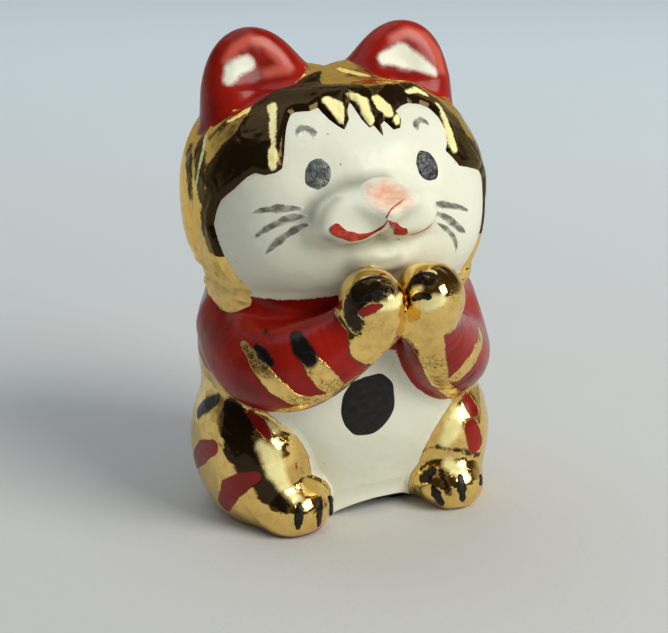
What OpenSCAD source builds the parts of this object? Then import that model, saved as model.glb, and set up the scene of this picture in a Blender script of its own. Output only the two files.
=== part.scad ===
// Beckoning cat: a miniature porcelain figurine that sits up with both paws held together
// under its chin. It is hollow, with an open base. Its clay pieces are cast or rolled one
// by one and luted together, and raised enamel is laid on top of the glaze.
// +Z is up, the cat looks along -Y, and +X is the cat's left.

/* [Head] */
// Width of the head above the cheeks
head_w = 20.9; // [19:0.1:23]
// Depth of the face in front of the ears
face_d = 9.9; // [9:0.1:11]
// Height of the crown above the middle of the head
crown_h = 7.7; // [7:0.1:9]
// Height of the middle of the head above the table
head_z = 22.9; // [22:0.1:24]
// How far the head turns towards the cat's right, in degrees
head_turn = 4; // [0:1:10]
// Height of an ear above the middle of the head
ear_h = 11.4; // [10:0.1:13]
// Distance between the two ear tips
ear_gap = 11.2; // [10:0.1:12]

/* [Body] */
// Width of the torso at the shoulders
body_w = 19.8; // [18:0.1:21]
// Height at which the head is luted to the torso
neck_z = 17; // [16:0.1:17.5]
// Thickness of the clay wall
wall = 1.9; // [1.5:0.1:2.4]
// Height of the arch in the front edge of the base
arch_h = 0.8; // [0.4:0.1:1.2]

/* [Legs and arms] */
// Radius of a foreleg at its elbow
arm_r = 2.9; // [2.6:0.1:3.2]
// Radius of a forepaw
paw_r = 2.35; // [2.1:0.05:2.5]
// Width of the figure across the haunches
haunch_span = 22; // [21:0.1:23]
// Width of a hind foot
foot_w = 5.2; // [4.8:0.1:5.8]

/* [Enamel] */
// Height of the raised enamel above the glaze
enamel_t = 0.2; // [0.1:0.02:0.3]
// Thickness of the gold hood laid over the head
gold_t = 0.3; // [0.2:0.05:0.4]
// Width of one brush stroke
stroke_w = 0.5; // [0.4:0.05:0.6]

/* [Hidden] */

porcelain = [0.90, 0.90, 0.84];
red = [0.55, 0.06, 0.05];
gold = [0.83, 0.64, 0.22];
black = [0.08, 0.08, 0.08];
grey = [0.32, 0.34, 0.32];
coral = [0.93, 0.62, 0.48];

// The whole figure is moved along Y by this much, so that its box is centred on the origin.
centre_y = 1.46;
side_of = function(left) left ? 1 : -1;

// ---------- vectors ----------
function unit(v) = v / norm(v);
function turn_x(v, a) = [v.x, v.y * cos(a) - v.z * sin(a), v.y * sin(a) + v.z * cos(a)];
function turn_z(v, a) = [v.x * cos(a) - v.y * sin(a), v.x * sin(a) + v.y * cos(a), v.z];
function smooth(t) = let(c = max(0, min(1, t))) c * c * (3 - 2 * c);

// A direction from its bearing, which is 0 at the front and grows to +X, and its height angle.
function heading(bearing, rise) = [cos(rise) * sin(bearing), -cos(rise) * cos(bearing), sin(rise)];

// ---------- skins ----------
// A closed skin over rings of n points. Each ring runs counter-clockwise seen from the last pole.
module skin(rings, first, last) {
    m = len(rings);
    n = len(rings[0]);
    points = concat([for (r = rings) each r], [first, last]);
    sides = [
        for (i = [0 : m - 2], j = [0 : n - 1])
            let(k = (j + 1) % n, a = i * n, b = a + n)
            each [[a + j, b + k, a + k], [a + j, b + j, b + k]]
    ];
    start = [for (j = [0 : n - 1]) [m * n, j, (j + 1) % n]];
    end = [for (j = [0 : n - 1]) let(b = (m - 1) * n) [m * n + 1, b + (j + 1) % n, b + j]];
    polyhedron(points, concat(sides, start, end), convexity = 6);
}

// ---------- round clay forms ----------
// A ball is [centre, half sizes, exponent, bumps, tilt, turn]. The half sizes are those to the side, to the
// front, up, to the back and down. A bump is [bearing, rise, width, height, size]: a swelling with the
// shape of a Gaussian, in degrees and millimetres.
function swelling(bearing, rise, b) =
    let(across = ((bearing - b[0] + 540) % 360 - 180) * cos(rise))
    b[4] * exp(-pow(across / b[2], 2) - pow((rise - b[1]) / b[3], 2));

function sum_of(v, i = 0) = i >= len(v) ? 0 : v[i] + sum_of(v, i + 1);

function ball_radius(ball, bearing, rise) =
    let(
        d = heading(bearing, rise),
        h = ball[1],
        p = ball[2],
        along_y = abs(d.y) / (d.y < 0 ? h[1] : h[3]),
        along_z = abs(d.z) / (d.z > 0 ? h[2] : h[4])
    )
    1 / pow(pow(abs(d.x) / h[0], p) + pow(along_y, p) + pow(along_z, p), 1 / p)
    + sum_of([for (b = ball[3]) swelling(bearing, rise, b)]);

function ball_normal(ball, bearing, rise) = turn_z(turn_x(heading(bearing, rise), ball[4]), ball[5]);

function ball_point(ball, bearing, rise, lift = 0) =
    ball[0] + ball_normal(ball, bearing, rise) * (ball_radius(ball, bearing, rise) + lift);

module ball_solid(ball, rows = 14, cols = 28) {
    rings = [for (i = [1 : rows - 1]) [
        for (j = [0 : cols - 1]) ball_point(ball, 360 * j / cols, -90 + 180 * i / rows)
    ]];
    skin(rings, ball_point(ball, 0, -90), ball_point(ball, 0, 90));
}

module below_table() {
    translate([-20, -20, -10]) cube([40, 40, 10]);
}

// Everything past the middle plane, seen from one side of the cat.
module other_side(left) {
    translate([left ? -15 : 0, -20, 0]) cube([15, 30, 30]);
}

module on_side(left) {
    mirror([left ? 0 : 1, 0, 0]) children();
}

// ---------- head ----------
head_bumps = [
    [10.5, 3, 13, 11.5, 1.2], [-10.5, 3, 13, 11.5, 1.2],          // muzzle pads
    [0, 11, 8, 8, 0.75],                                          // nose
    [0, -15, 11.5, 8, 0.7],                                       // chin
    [37, -12.5, 24, 18, 0.6], [-37, -12.5, 24, 18, 0.6],          // cheeks
    [23.5, 18.5, 12, 10, -0.3], [-23.5, 18.5, 12, 10, -0.3]       // eye hollows
];
nape_d = 8.2;
jaw_h = 9.5;
head_centre = [0, 1, head_z];
head = [head_centre, [head_w / 2, face_d, crown_h, nape_d, jaw_h], 2.35, head_bumps, 0, 0];
cavity_half = [head_w / 2 - wall, face_d - wall, crown_h - wall, nape_d - wall, jaw_h];
head_cavity = [head_centre, cavity_half, 2.35, [], 0, 0];

module head_turned() {
    rotate([0, 0, -head_turn]) children();
}

module head_solid() {
    head_turned() ball_solid(head, 26, 56);
}

module head_shell() {
    color(porcelain) difference() {
        head_solid();
        head_turned() ball_solid(head_cavity, 12, 32);
        translate([-20, -20, 0]) cube([40, 40, neck_z]);
    }
}

// ---------- gold hood ----------
// The height angle of the hood's edge, by bearing from the front: a jagged fringe over the forehead, a
// step at each temple, and a side lock that falls to the collar behind the cheek.
// A tooth of the fringe is [bearing, length, width], in degrees.
fringe_teeth = [[-12, 9.5, 5], [8.4, 12, 4], [18.6, 8, 3.2]];
fringe_rise = 46;
temple_bearing = 38;
temple_w = 4;
temple_rise = 17;
lock_bearing = 65;
lock_rise = -2;
nape_rise = -34;
function fringe(b) = fringe_rise - sum_of([for (k = fringe_teeth) k[1] * exp(-pow((b - k[0]) / k[2], 2))]);
function hood_edge(bearing) =
    let(b = (bearing + 540) % 360 - 180, a = abs(b))
    let(past = a - temple_bearing - temple_w)
    past < 0
        ? fringe(b) + (temple_rise - fringe_rise) * smooth(1 + past / temple_w)
    : a < lock_bearing
        ? temple_rise + (lock_rise - temple_rise) * pow(past / (lock_bearing - temple_bearing - temple_w), 1.3)
    : lock_rise + (nape_rise - lock_rise) * smooth((a - lock_bearing) / 10);

// The hood is thicker along a rounded ridge that joins the ears across the front of the crown.
function hood_ridge(bearing, rise) =
    let(a = abs((bearing + 540) % 360 - 180))
    0.4 * exp(-pow((rise - 59 + a * a / 450) / 6, 2)) * smooth((95 - a) / 25);

module gold_hood() {
    cols = 84;
    rows = 12;
    function at(i, j, lift) =
        let(b = 360 * j / cols, e = hood_edge(b), rise = e + (90 - e) * i / rows)
        ball_point(head, b, rise, lift + (lift > 0 ? hood_ridge(b, rise) : 0));
    inner = [for (i = [rows - 1 : -1 : 0]) [for (j = [0 : cols - 1]) at(i, j, 0)]];
    outer = [for (i = [0 : rows - 1]) [for (j = [0 : cols - 1]) at(i, j, gold_t)]];
    color(gold) head_turned() difference() {
        skin(concat(inner, outer), ball_point(head, 0, 90), ball_point(head, 0, 90, gold_t));
        on_side(true) ear_solid();
        on_side(false) ear_solid();
    }
}

// ---------- ears ----------
ear_base = [ear_gap / 2 - 0.6, 1.4, head_z + 3.6];
ear_tip = [ear_gap / 2, 1.9, head_z + ear_h];
ear_half_w = 4.1;
ear_half_d = 2.9;
ear_skirt = 2.4;

// One ring of the ear at height t, from 0 at its root to 1 at its tip. The front is dished, and the
// inner side runs out in a skirt over the crown.
function ear_ring(t, n = 28) =
    let(
        c = ear_base + (ear_tip - ear_base) * t,
        round_off = sqrt(max(0, 1 - pow(t, 2.8))),
        spread = exp(-max(0, c.z - head_z - 7.4) / 0.9)
    )
    [for (j = [0 : n - 1]) let(
        x = cos(360 * j / n) * (ear_half_w * round_off + (cos(360 * j / n) < 0 ? ear_skirt : 0) * spread),
        y = sin(360 * j / n) * (ear_half_d * round_off + 0.7 * spread),
        dish = y < 0 ? 1.3 * exp(-pow(x / (0.55 * ear_half_w), 2)) * sin(180 * t) : 0
    ) c + [x, y + dish, 0]];

module ear_solid() {
    rows = 12;
    skin([for (i = [0 : rows - 1]) ear_ring(1 - pow(1 - i / rows, 1.6))], ear_base, ear_tip);
}

module ear(left) {
    color(red) difference() {
        head_turned() on_side(left) ear_solid();
        head_solid();
    }
}

// ---------- torso ----------
function shoulder_round(z) = 0.7 * smooth((z - neck_z + 3.5) / 3.5);
function torso_w(z) = body_w / 2 * (0.78 + 0.22 * smooth(z / 12)) - shoulder_round(z);
function torso_front(z) = -(5.3 + 2.7 * smooth(z / 9)) + shoulder_round(z);
function torso_back(z) = 7.6 + sin(180 * min(1, z / neck_z)) - shoulder_round(z);
function torso_ring(z, inset, n) =
    let(
        w = torso_w(z) - inset,
        f = torso_front(z) + inset,
        b = torso_back(z) - inset
    )
    [for (j = [0 : n - 1]) let(a = 360 * j / n, c = cos(a), s = sin(a), p = 2 / 2.3) [
        w * sign(c) * pow(abs(c), p),
        (f + b) / 2 + (b - f) / 2 * sign(s) * pow(abs(s), p),
        z
    ]];

module torso_solid() {
    rows = 14;
    skin([for (i = [0 : rows]) torso_ring(neck_z * i / rows, 0, 48)], [0, 0, 0], [0, 0, neck_z]);
}

module torso_cavity() {
    rows = 6;
    bottom = -1;
    height = neck_z + 2;
    skin([for (i = [0 : rows]) torso_ring(bottom + height * i / rows, wall, 36)],
        [0, 0, bottom], [0, 0, bottom + height]);
}

module base_arch() {
    arch_w = 7.5;
    arch_r = (arch_w * arch_w / 4 + arch_h * arch_h) / (2 * arch_h);
    translate([0.6, -1, arch_h - arch_r]) rotate([90, 0, 0]) cylinder(r = arch_r, h = 8, $fn = 96);
}

module body_shell() {
    color(porcelain) difference() {
        torso_solid();
        torso_cavity();
        base_arch();
    }
}

// ---------- forelegs ----------
// Each foreleg bends from shoulder to wrist about its own elbow: the cat's left elbow hangs lower and
// closer to the body than the right one.
shoulder = [7.9, -0.8, 14];
left_elbow = [7.4, -6.0, 8.4];
right_elbow = [9.2, -8.6, 10.3];
wrist = [2.1, -10.7, 16.2];
function elbow(left) = left ? left_elbow : right_elbow;
function foreleg_at(e, t) = shoulder * pow(1 - t, 2) + e * 2 * t * (1 - t) + wrist * t * t;
function foreleg_along(e, t) = unit((e - shoulder) * (1 - t) + (wrist - e) * t);
function foreleg_r(t) = arm_r * (0.94 + 0.1 * sin(180 * t)) - 0.6 * smooth((t - 0.6) / 0.4);

// One ring of a foreleg at t, with radius r, moved along the limb by shift.
function foreleg_ring(e, t, r, shift, n = 24) =
    let(
        along = foreleg_along(e, t),
        across = unit(cross([0, 0, 1], along)),
        over = cross(along, across),
        c = foreleg_at(e, t) + along * shift
    )
    [for (j = [0 : n - 1]) let(a = 360 * j / n) c + (across * cos(a) * 0.88 + over * sin(a) * 1.06) * r];

module foreleg_solid(left) {
    rows = 14;
    cap = 4;
    e = elbow(left);
    // The round end at t, for the angles between the tip and the tube.
    function end_ring(t, a, out) = foreleg_ring(e, t, foreleg_r(t) * sin(a), out * foreleg_r(t) * cos(a));
    start = [for (i = [1 : cap]) end_ring(0, 90 * i / (cap + 1), -1)];
    middle = [for (i = [0 : rows]) foreleg_ring(e, i / rows, foreleg_r(i / rows), 0)];
    end = [for (i = [cap : -1 : 1]) end_ring(1, 90 * i / (cap + 1), 1)];
    on_side(left) skin(
        concat(start, middle, end),
        foreleg_at(e, 0) - foreleg_along(e, 0) * foreleg_r(0),
        foreleg_at(e, 1) + foreleg_along(e, 1) * foreleg_r(1)
    );
}

module foreleg(left) {
    color(red) difference() {
        foreleg_solid(left);
        torso_solid();
        head_solid();
        other_side(left);
    }
}

paw_bumps = [[-20, 10, 24, 22, 0.25], [20, -35, 26, 20, -0.2]];
paw = [[2.15, -11.2, 17.7], [paw_r * 0.9, paw_r, paw_r * 1.02, paw_r, paw_r], 2.3, paw_bumps, -10, 10];

module forepaw(left) {
    color(gold) difference() {
        on_side(left) ball_solid(paw, 14, 26);
        foreleg_solid(left);
        head_solid();
        other_side(left);
    }
}

// ---------- hind legs and tail ----------
haunch_centre = [haunch_span / 2 - 3.8, -0.9, 5.1];
haunch = [haunch_centre, [3.8, 6.1, 5.4, 5.6, 5.4], 2.2, [], 22, 0];
left_foot_x = 6.7;
right_foot_x = 5.7;
foot_half = [foot_w / 2, 2.9, 2.2, 4, 1.9];
function hind_foot_ball(left) =
    [[left ? left_foot_x : right_foot_x, -5.1, 1.5], foot_half, 2.4, [[0, 12, 30, 25, 0.2]], 0, -10];

module haunch(left) {
    color(gold) difference() {
        on_side(left) ball_solid(haunch, 16, 30);
        torso_solid();
        foreleg_solid(left);
        below_table();
    }
}

module hind_foot(left) {
    color(gold) difference() {
        on_side(left) ball_solid(hind_foot_ball(left), 14, 26);
        torso_solid();
        on_side(left) ball_solid(haunch, 16, 30);
        below_table();
    }
}

tail = [[1.2, 8.9, 4.2], [2.1, 1.9, 3.2, 1.9, 3.2], 2.1, [], 20, -20];

module bobtail() {
    color(gold) difference() {
        ball_solid(tail, 12, 22);
        torso_solid();
        below_table();
    }
}

// ---------- raised enamel ----------
// An oval dab on a ball: [bearing, rise] of its middle, and half its width and height in degrees.
module dab(ball, at, half, rows = 4, cols = 18, lean = 0) {
    function spot(r, a, lift) =
        let(u = r * half[0] * cos(a), v = r * half[1] * sin(a))
        ball_point(ball, at[0] + u * cos(lean) - v * sin(lean), at[1] + u * sin(lean) + v * cos(lean), lift);
    under = [for (i = [1 : rows]) [for (j = [0 : cols - 1]) spot(i / rows, 360 * j / cols, 0)]];
    over = [for (i = [rows : -1 : 1]) [
        for (j = [0 : cols - 1]) spot(i / rows, 360 * j / cols, 0.06 + enamel_t * sqrt(1.05 - pow(i / rows, 4)))
    ]];
    skin(concat(under, over), spot(0, 0, 0), spot(0, 0, 0.06 + enamel_t));
}

// A brush stroke on a ball along a bent line of three [bearing, rise] points.
module brush_stroke(ball, path, width, rows = 8, cols = 8) {
    function line(t) = path[0] * pow(1 - t, 2) + path[1] * 2 * t * (1 - t) + path[2] * t * t;
    function on(t, lift = 0) = let(p = line(t)) ball_point(ball, p[0], p[1], lift);
    function ring(t) =
        let(
            p = line(t),
            up = ball_normal(ball, p[0], p[1]),
            along = unit(on(min(1, t + 0.02)) - on(max(0, t - 0.02))),
            across = unit(cross(along, up)),
            r = width / 2 * pow(sin(180 * (0.06 + 0.88 * t)), 0.4)
        )
        [for (j = [0 : cols - 1]) let(a = 360 * j / cols)
            on(t, 0.06) + across * r * cos(a) + up * enamel_t * sin(a) * (sin(a) > 0 ? 1 : 0.2)];
    skin([for (i = [0 : rows]) ring(i / rows)], on(0, 0.06), on(1, 0.06));
}

module eye(left) {
    color(black) head_turned() dab(head, [side_of(left) * 23.6, 17.4], [6.0, 6.4], lean = left ? 8 : -8);
}

module brow(left) {
    s = side_of(left);
    color(grey) head_turned()
        brush_stroke(head, [[s * 26.5, 31.5], [s * 30.5, 37.5], [s * 34, 32]], stroke_w * 1.4);
}

module nose_enamel() {
    color(coral) head_turned() dab(head, [1, 11], [6.8, 4.8]);
}

module mouth_line() {
    color(red) head_turned() {
        brush_stroke(head, [[0, 2.4], [-9, -11], [-19, 0.5]], stroke_w * 1.1, 10);
        brush_stroke(head, [[3.4, 2.4], [8, -9], [15, -2]], stroke_w * 1.1, 8);
    }
}

// Each whisker stroke is [rise beside the muzzle, bearing and rise of its outer end].
module whiskers(left) {
    s = side_of(left);
    color(grey) head_turned() for (w = [[6, 44, 1.5], [3.6, 42.5, -7], [1, 38.5, -13.5]])
        brush_stroke(head, [[s * 24.5, w[0]], [s * 34, w[0] + (w[2] - w[0]) * 0.3], [s * w[1], w[2]]], stroke_w);
}

// The black spot on the belly, a rounded dome laid on the torso.
module belly_spot() {
    spot_c = [-0.8, 9.4];
    spot_w = 4.6;
    spot_h = 5;
    rows = 5;
    cols = 24;
    function belly_y(x, z) =
        let(f = torso_front(z), b = torso_back(z), w = torso_w(z))
        (f + b) / 2 - (b - f) / 2 * pow(1 - pow(abs(x) / w, 2.3), 1 / 2.3);
    function at(r, a, lift) =
        let(x = spot_c[0] + r * spot_w / 2 * cos(a), z = spot_c[1] + r * spot_h / 2 * sin(a))
        [x, belly_y(x, z) - lift, z];
    under = [for (i = [1 : rows]) [for (j = [0 : cols - 1]) at(i / rows, 360 * j / cols, 0)]];
    over = [for (i = [rows : -1 : 1]) [
        for (j = [0 : cols - 1]) at(i / rows, 360 * j / cols, 0.06 + enamel_t * sqrt(1.05 - pow(i / rows, 4)))
    ]];
    color(black) skin(concat(under, over), at(0, 0, 0), at(0, 0, 0.06 + enamel_t));
}

module paw_claw_lines(left) {
    color(black) on_side(left) for (rise = [32, 4])
        brush_stroke(paw, [[-48, rise - 6], [-22, rise + 3], [8, rise]], stroke_w, 7);
}

module foot_claw_lines(left) {
    color(black) on_side(left) for (bearing = [-34, -8, 18])
        brush_stroke(hind_foot_ball(left), [[bearing, 34], [bearing, 16], [bearing, -6]], stroke_w, 7);
}

// ---------- the figure ----------
translate([0, centre_y, 0]) {
    body_shell();
    head_shell();
    gold_hood();
    ear(true);  // left_ear
    ear(false);  // right_ear
    foreleg(true);  // left_foreleg
    foreleg(false);  // right_foreleg
    forepaw(true);  // left_forepaw
    forepaw(false);  // right_forepaw
    haunch(true);  // left_haunch
    haunch(false);  // right_haunch
    hind_foot(true);  // left_hind_foot
    hind_foot(false);  // right_hind_foot
    bobtail();
    eye(true);  // left_eye
    eye(false);  // right_eye
    brow(true);  // left_brow
    brow(false);  // right_brow
    nose_enamel();
    mouth_line();
    whiskers(true);  // left_whiskers
    whiskers(false);  // right_whiskers
    belly_spot();
    paw_claw_lines(true);  // left_paw_claw_lines
    paw_claw_lines(false);  // right_paw_claw_lines
    foot_claw_lines(true);  // left_foot_claw_lines
    foot_claw_lines(false);  // right_foot_claw_lines
}
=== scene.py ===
"""A hand-painted porcelain cat with its forepaws held together.

Every clay piece is a closed grid worked out as a whole array. The pieces share one rounded join: each
grid is pushed out until it meets the soft union of all the clay forms. Lengths are in millimetres, in the
cat's own frame, until place() moves them into the row frame in metres.
"""
import math

import bpy
import numpy as np
from mathutils import Matrix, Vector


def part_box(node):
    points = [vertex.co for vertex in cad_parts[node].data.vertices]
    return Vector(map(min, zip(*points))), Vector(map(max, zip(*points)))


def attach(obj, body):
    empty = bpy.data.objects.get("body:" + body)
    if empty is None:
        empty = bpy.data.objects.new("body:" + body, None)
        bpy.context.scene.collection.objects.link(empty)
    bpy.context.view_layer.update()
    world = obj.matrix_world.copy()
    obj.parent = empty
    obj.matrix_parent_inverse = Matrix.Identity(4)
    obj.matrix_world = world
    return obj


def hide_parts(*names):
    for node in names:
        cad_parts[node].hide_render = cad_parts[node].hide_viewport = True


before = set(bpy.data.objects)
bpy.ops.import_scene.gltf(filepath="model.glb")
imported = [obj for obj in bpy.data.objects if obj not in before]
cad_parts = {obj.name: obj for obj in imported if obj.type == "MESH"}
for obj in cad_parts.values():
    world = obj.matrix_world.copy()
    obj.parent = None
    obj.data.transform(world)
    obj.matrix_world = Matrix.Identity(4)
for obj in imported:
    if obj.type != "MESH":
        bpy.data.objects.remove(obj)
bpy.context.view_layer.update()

MM = 0.001
torso_low, torso_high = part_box("body_shell")
TORSO_FRONT = 8.0
MIDDLE_Y = torso_low[1] / MM + TORSO_FRONT
NECK_Z = torso_high[2] / MM


# ---------- small helpers ----------
def smooth(t):
    """An S curve from 0 to 1 as t goes from 0 to 1."""
    t = np.clip(t, 0, 1)
    return t * t * (3 - 2 * t)


def unit(v):
    return v / np.maximum(np.linalg.norm(v, axis=-1, keepdims=True), 1e-9)


def place(points):
    """From the cat's own frame in millimetres to the row frame in metres."""
    return (np.asarray(points, float) + np.array([0, MIDDLE_Y, 0])) * MM


def turn_about(points, axis, degrees):
    """Turns points about the x or z axis through the origin."""
    c, s = math.cos(math.radians(degrees)), math.sin(math.radians(degrees))
    x, y, z = points[..., 0], points[..., 1], points[..., 2]
    if axis == "x":
        return np.stack([x, y * c - z * s, y * s + z * c], -1)
    return np.stack([x * c - y * s, x * s + y * c, z], -1)


def flip(points, side):
    """The same points on the cat's other side when side is -1."""
    return points * np.array([side, 1, 1])


def heading(bearing, rise):
    """A unit direction from a bearing, 0 at the front and growing to +X, and a height angle, in degrees."""
    b, r = np.radians(bearing), np.radians(rise)
    return np.stack([np.cos(r) * np.sin(b), -np.cos(r) * np.cos(b), np.sin(r) + 0 * b], -1)


def bearings(direction):
    """The bearing and height angle of unit directions, in degrees."""
    bearing = np.degrees(np.arctan2(direction[..., 0], -direction[..., 1]))
    return bearing, np.degrees(np.arcsin(np.clip(direction[..., 2], -1, 1)))


# ---------- camera ----------
CAMERA_AZIMUTH = -23
CAMERA_ELEVATION = 17.5
CAMERA_SPOT = (-46.07, -108.36, 50.5)
FOCAL_WIDTHS = 1700 / 668


def set_camera():
    a, e = math.radians(CAMERA_AZIMUTH), math.radians(CAMERA_ELEVATION)
    right = np.array([math.cos(a), math.sin(a), 0])
    back = np.array([math.sin(a) * math.cos(e), -math.cos(a) * math.cos(e), math.sin(e)])
    up = np.cross(back, right)
    lens = bpy.data.cameras.new("camera")
    lens.sensor_width = 36
    lens.lens = 36 * FOCAL_WIDTHS
    lens.clip_start = 0.005
    camera = bpy.data.objects.new("camera", lens)
    turned = Matrix([list(row) for row in np.array([right, up, back]).T]).to_4x4()
    camera.matrix_world = Matrix.Translation([float(v) for v in place(CAMERA_SPOT)]) @ turned
    bpy.context.scene.collection.objects.link(camera)
    bpy.context.scene.camera = camera
    bpy.context.scene.view_settings.view_transform = "Standard"


set_camera()


# ---------- clay forms ----------
def ball(centre, half, power, bumps=(), tilt=0, turn=0, side=1):
    """A rounded box about a centre. half is its half sizes to the side, front, top, back and bottom."""
    centre = np.array(centre, float)
    return dict(centre=centre, half=half, power=power, bumps=bumps, tilt=tilt, turn=turn, side=side)


def ball_radius(form, direction):
    """Distance from the centre to the skin: a superellipsoid's radius plus Gaussian swellings.

    A swelling is (bearing, rise, width, height, size, sharpness); sharpness 1 is a plain Gaussian and more
    makes its top flatter and its edge steeper.
    """
    x, y, z = direction[..., 0], direction[..., 1], direction[..., 2]
    side, front, top, back, bottom = form["half"]
    p = form["power"]
    along_y = np.abs(y) / np.where(y < 0, front, back)
    along_z = np.abs(z) / np.where(z > 0, top, bottom)
    radius = ((np.abs(x) / side) ** p + along_y**p + along_z**p) ** (-1 / p)
    bearing, rise = bearings(direction)
    for b0, r0, width, height, size, sharp in form["bumps"]:
        across = ((bearing - b0 + 180) % 360 - 180) * np.cos(np.radians(rise))
        radius = radius + size * np.exp(-(((across / width) ** 2 + ((rise - r0) / height) ** 2) ** sharp))
    return radius


def into_ball(form, points):
    q = flip(points, form["side"])
    q = turn_about(q, "z", -form.get("swing", 0)) - form["centre"]
    return turn_about(turn_about(q, "z", -form["turn"]), "x", -form["tilt"])


def out_of_ball(form, local):
    q = turn_about(turn_about(local, "x", form["tilt"]), "z", form["turn"]) + form["centre"]
    return flip(turn_about(q, "z", form.get("swing", 0)), form["side"])


def ball_distance(form, points):
    """How far points are outside the skin, measured along the ray from the centre."""
    q = into_ball(form, points)
    reach = np.linalg.norm(q, axis=-1)
    return reach - ball_radius(form, q / np.maximum(reach, 1e-6)[..., None])


HEAD_TURN = -4
HEAD_CENTRE = (0, 1.0, 22.9)
HEAD_SWELLINGS = (
    (9.5, 1.6, 12.0, 8.8, 1.5, 2.3), (-12.5, 1.2, 14.0, 9.0, 1.8, 2.6),  # muzzle pads
    (1.0, 8.8, 10.5, 6.8, 1.3, 1.6),                                       # nose
    (0, -15.5, 12, 6.0, 1.0, 1.3),                                         # chin
    (37, -12.5, 24, 18, 0.6, 1), (-37, -12.5, 24, 18, 0.6, 1),             # cheeks
    (23.5, 18.5, 10, 8, -0.3, 1), (-23.5, 18.5, 10, 8, -0.3, 1),           # eye hollows
    (1.5, -6.0, 2.4, 5, -0.35, 1), (0, -8.5, 20, 2.4, -0.25, 1),           # grooves under nose and lip
)
head = ball(HEAD_CENTRE, (10.45, 9.9, 7.7, 8.2, 9.5), 2.35, HEAD_SWELLINGS)
head["swing"] = HEAD_TURN

SIDES = {"left": 1, "right": -1}
PAW_SWELLINGS = ((-20, 10, 24, 22, 0.25, 1), (20, -35, 26, 20, -0.2, 1))
paws = {
    name: ball((2.15, -11.2, 17.7), (2.12, 2.35, 2.4, 2.35, 2.35), 2.3, PAW_SWELLINGS, -10, 10, side)
    for name, side in SIDES.items()
}
haunches = {
    name: ball((7.2, -0.9, 5.1), (3.8, 6.1, 5.4, 5.6, 5.4), 2.2, (), 22, 0, side)
    for name, side in SIDES.items()
}
FOOT_X = {"left": 6.7, "right": 5.7}
FOOT_SWELLINGS = ((0, 12, 30, 25, 0.2, 1),)
feet = {
    name: ball((FOOT_X[name], -5.1, 1.5), (2.6, 2.9, 2.2, 4, 1.9), 2.4, FOOT_SWELLINGS, 0, -10, side)
    for name, side in SIDES.items()
}
tail = ball((1.2, 8.9, 4.2), (2.1, 1.9, 3.2, 1.9, 3.2), 2.1, (), 20, -20)


def torso_outline(z):
    """Half width, front and back of the torso at height z; it rounds in just below the neck."""
    shoulder = 0.7 * smooth((z - NECK_Z + 3.5) / 3.5)
    width = 9.9 * (0.78 + 0.22 * smooth(z / 12)) - shoulder
    front = -(5.3 + 2.7 * smooth(z / 9)) + shoulder
    back = 7.6 + np.sin(np.pi * np.clip(z / NECK_Z, 0, 1)) - shoulder
    return width, front, back


TORSO_POWER = 2.3


def torso_distance(points):
    """Distance from the torso's skin at the same height, and never less than the height above its top."""
    x, y, z = points[..., 0], points[..., 1], points[..., 2]
    width, front, back = torso_outline(np.clip(z, 0, NECK_Z))
    middle, deep = (front + back) / 2, (back - front) / 2
    sides, ends = np.abs(x) / width, np.abs(y - middle) / deep
    share = (sides**TORSO_POWER + ends**TORSO_POWER) ** (1 / TORSO_POWER)
    reach = np.hypot(x, y - middle)
    across = reach * (1 - 1 / np.maximum(share, 1e-4))
    return np.maximum(across, z - NECK_Z)


SHOULDER = np.array([7.9, -0.8, 14])
ELBOWS = {"left": np.array([7.4, -6.0, 8.4]), "right": np.array([9.2, -8.6, 10.3])}
WRIST = np.array([2.1, -10.7, 16.2])
FORELEG_RADIUS = 2.9


def foreleg_line(name, t):
    """The middle line of a foreleg, curved from shoulder to wrist towards the elbow, and its direction."""
    t = np.asarray(t, float)[..., None]
    elbow = ELBOWS[name]
    at = SHOULDER * (1 - t) ** 2 + elbow * 2 * t * (1 - t) + WRIST * t * t
    along = unit((elbow - SHOULDER) * (1 - t) + (WRIST - elbow) * t)
    return at, along


def foreleg_radius(t):
    return FORELEG_RADIUS * (0.94 + 0.1 * np.sin(np.pi * t)) - 0.6 * smooth((t - 0.6) / 0.4)


def foreleg_distance(name, points):
    """The distance from a foreleg's skin, measured to the nearest of 24 short lengths of it."""
    q = flip(points, SIDES[name]).reshape(-1, 3)
    t = np.linspace(0, 1, 25)
    knots, _ = foreleg_line(name, t)
    best = np.full(len(q), 1e9)
    for i in range(len(t) - 1):
        a, edge = knots[i], knots[i + 1] - knots[i]
        u = np.clip(((q - a) @ edge) / (edge @ edge), 0, 1)
        gap = np.linalg.norm(q - a - u[:, None] * edge, axis=1)
        here = t[i] + u * (t[1] - t[0])
        gap = gap - foreleg_radius(here)
        best = np.minimum(best, gap)
    return best.reshape(points.shape[:-1])


EAR_ROOT = np.array([5.0, 1.4, HEAD_CENTRE[2] + 3.6])
EAR_TIP = np.array([5.6, 1.9, HEAD_CENTRE[2] + 11.4])
EAR_WIDTH, EAR_DEPTH, EAR_SKIRT = 4.1, 2.9, 2.4


def ear_centre(t):
    """The ear's middle at height share t, from root to tip."""
    return EAR_ROOT + (EAR_TIP - EAR_ROOT) * np.clip(t, 0, 1)[..., None]


def ear_spread(z):
    """1 low on the ear, where its skirt is full, and fading out above the crown."""
    return np.exp(-np.maximum(0, z - HEAD_CENTRE[2] - 7.4) / 0.9)


def ear_dish(x, y, t):
    """How far the front of the ear is dished: deepest in the middle and halfway up."""
    return 1.3 * np.exp(-((x / (0.55 * EAR_WIDTH)) ** 2)) * np.sin(np.pi * np.clip(t, 0, 1)) * smooth(-y * 2)


def into_ear(side, points):
    """Points in the ear's own frame, and their height share from root to tip."""
    q = flip(turn_about(points, "z", -HEAD_TURN), side)
    return q, (q[..., 2] - EAR_ROOT[2]) / (EAR_TIP[2] - EAR_ROOT[2])


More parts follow.
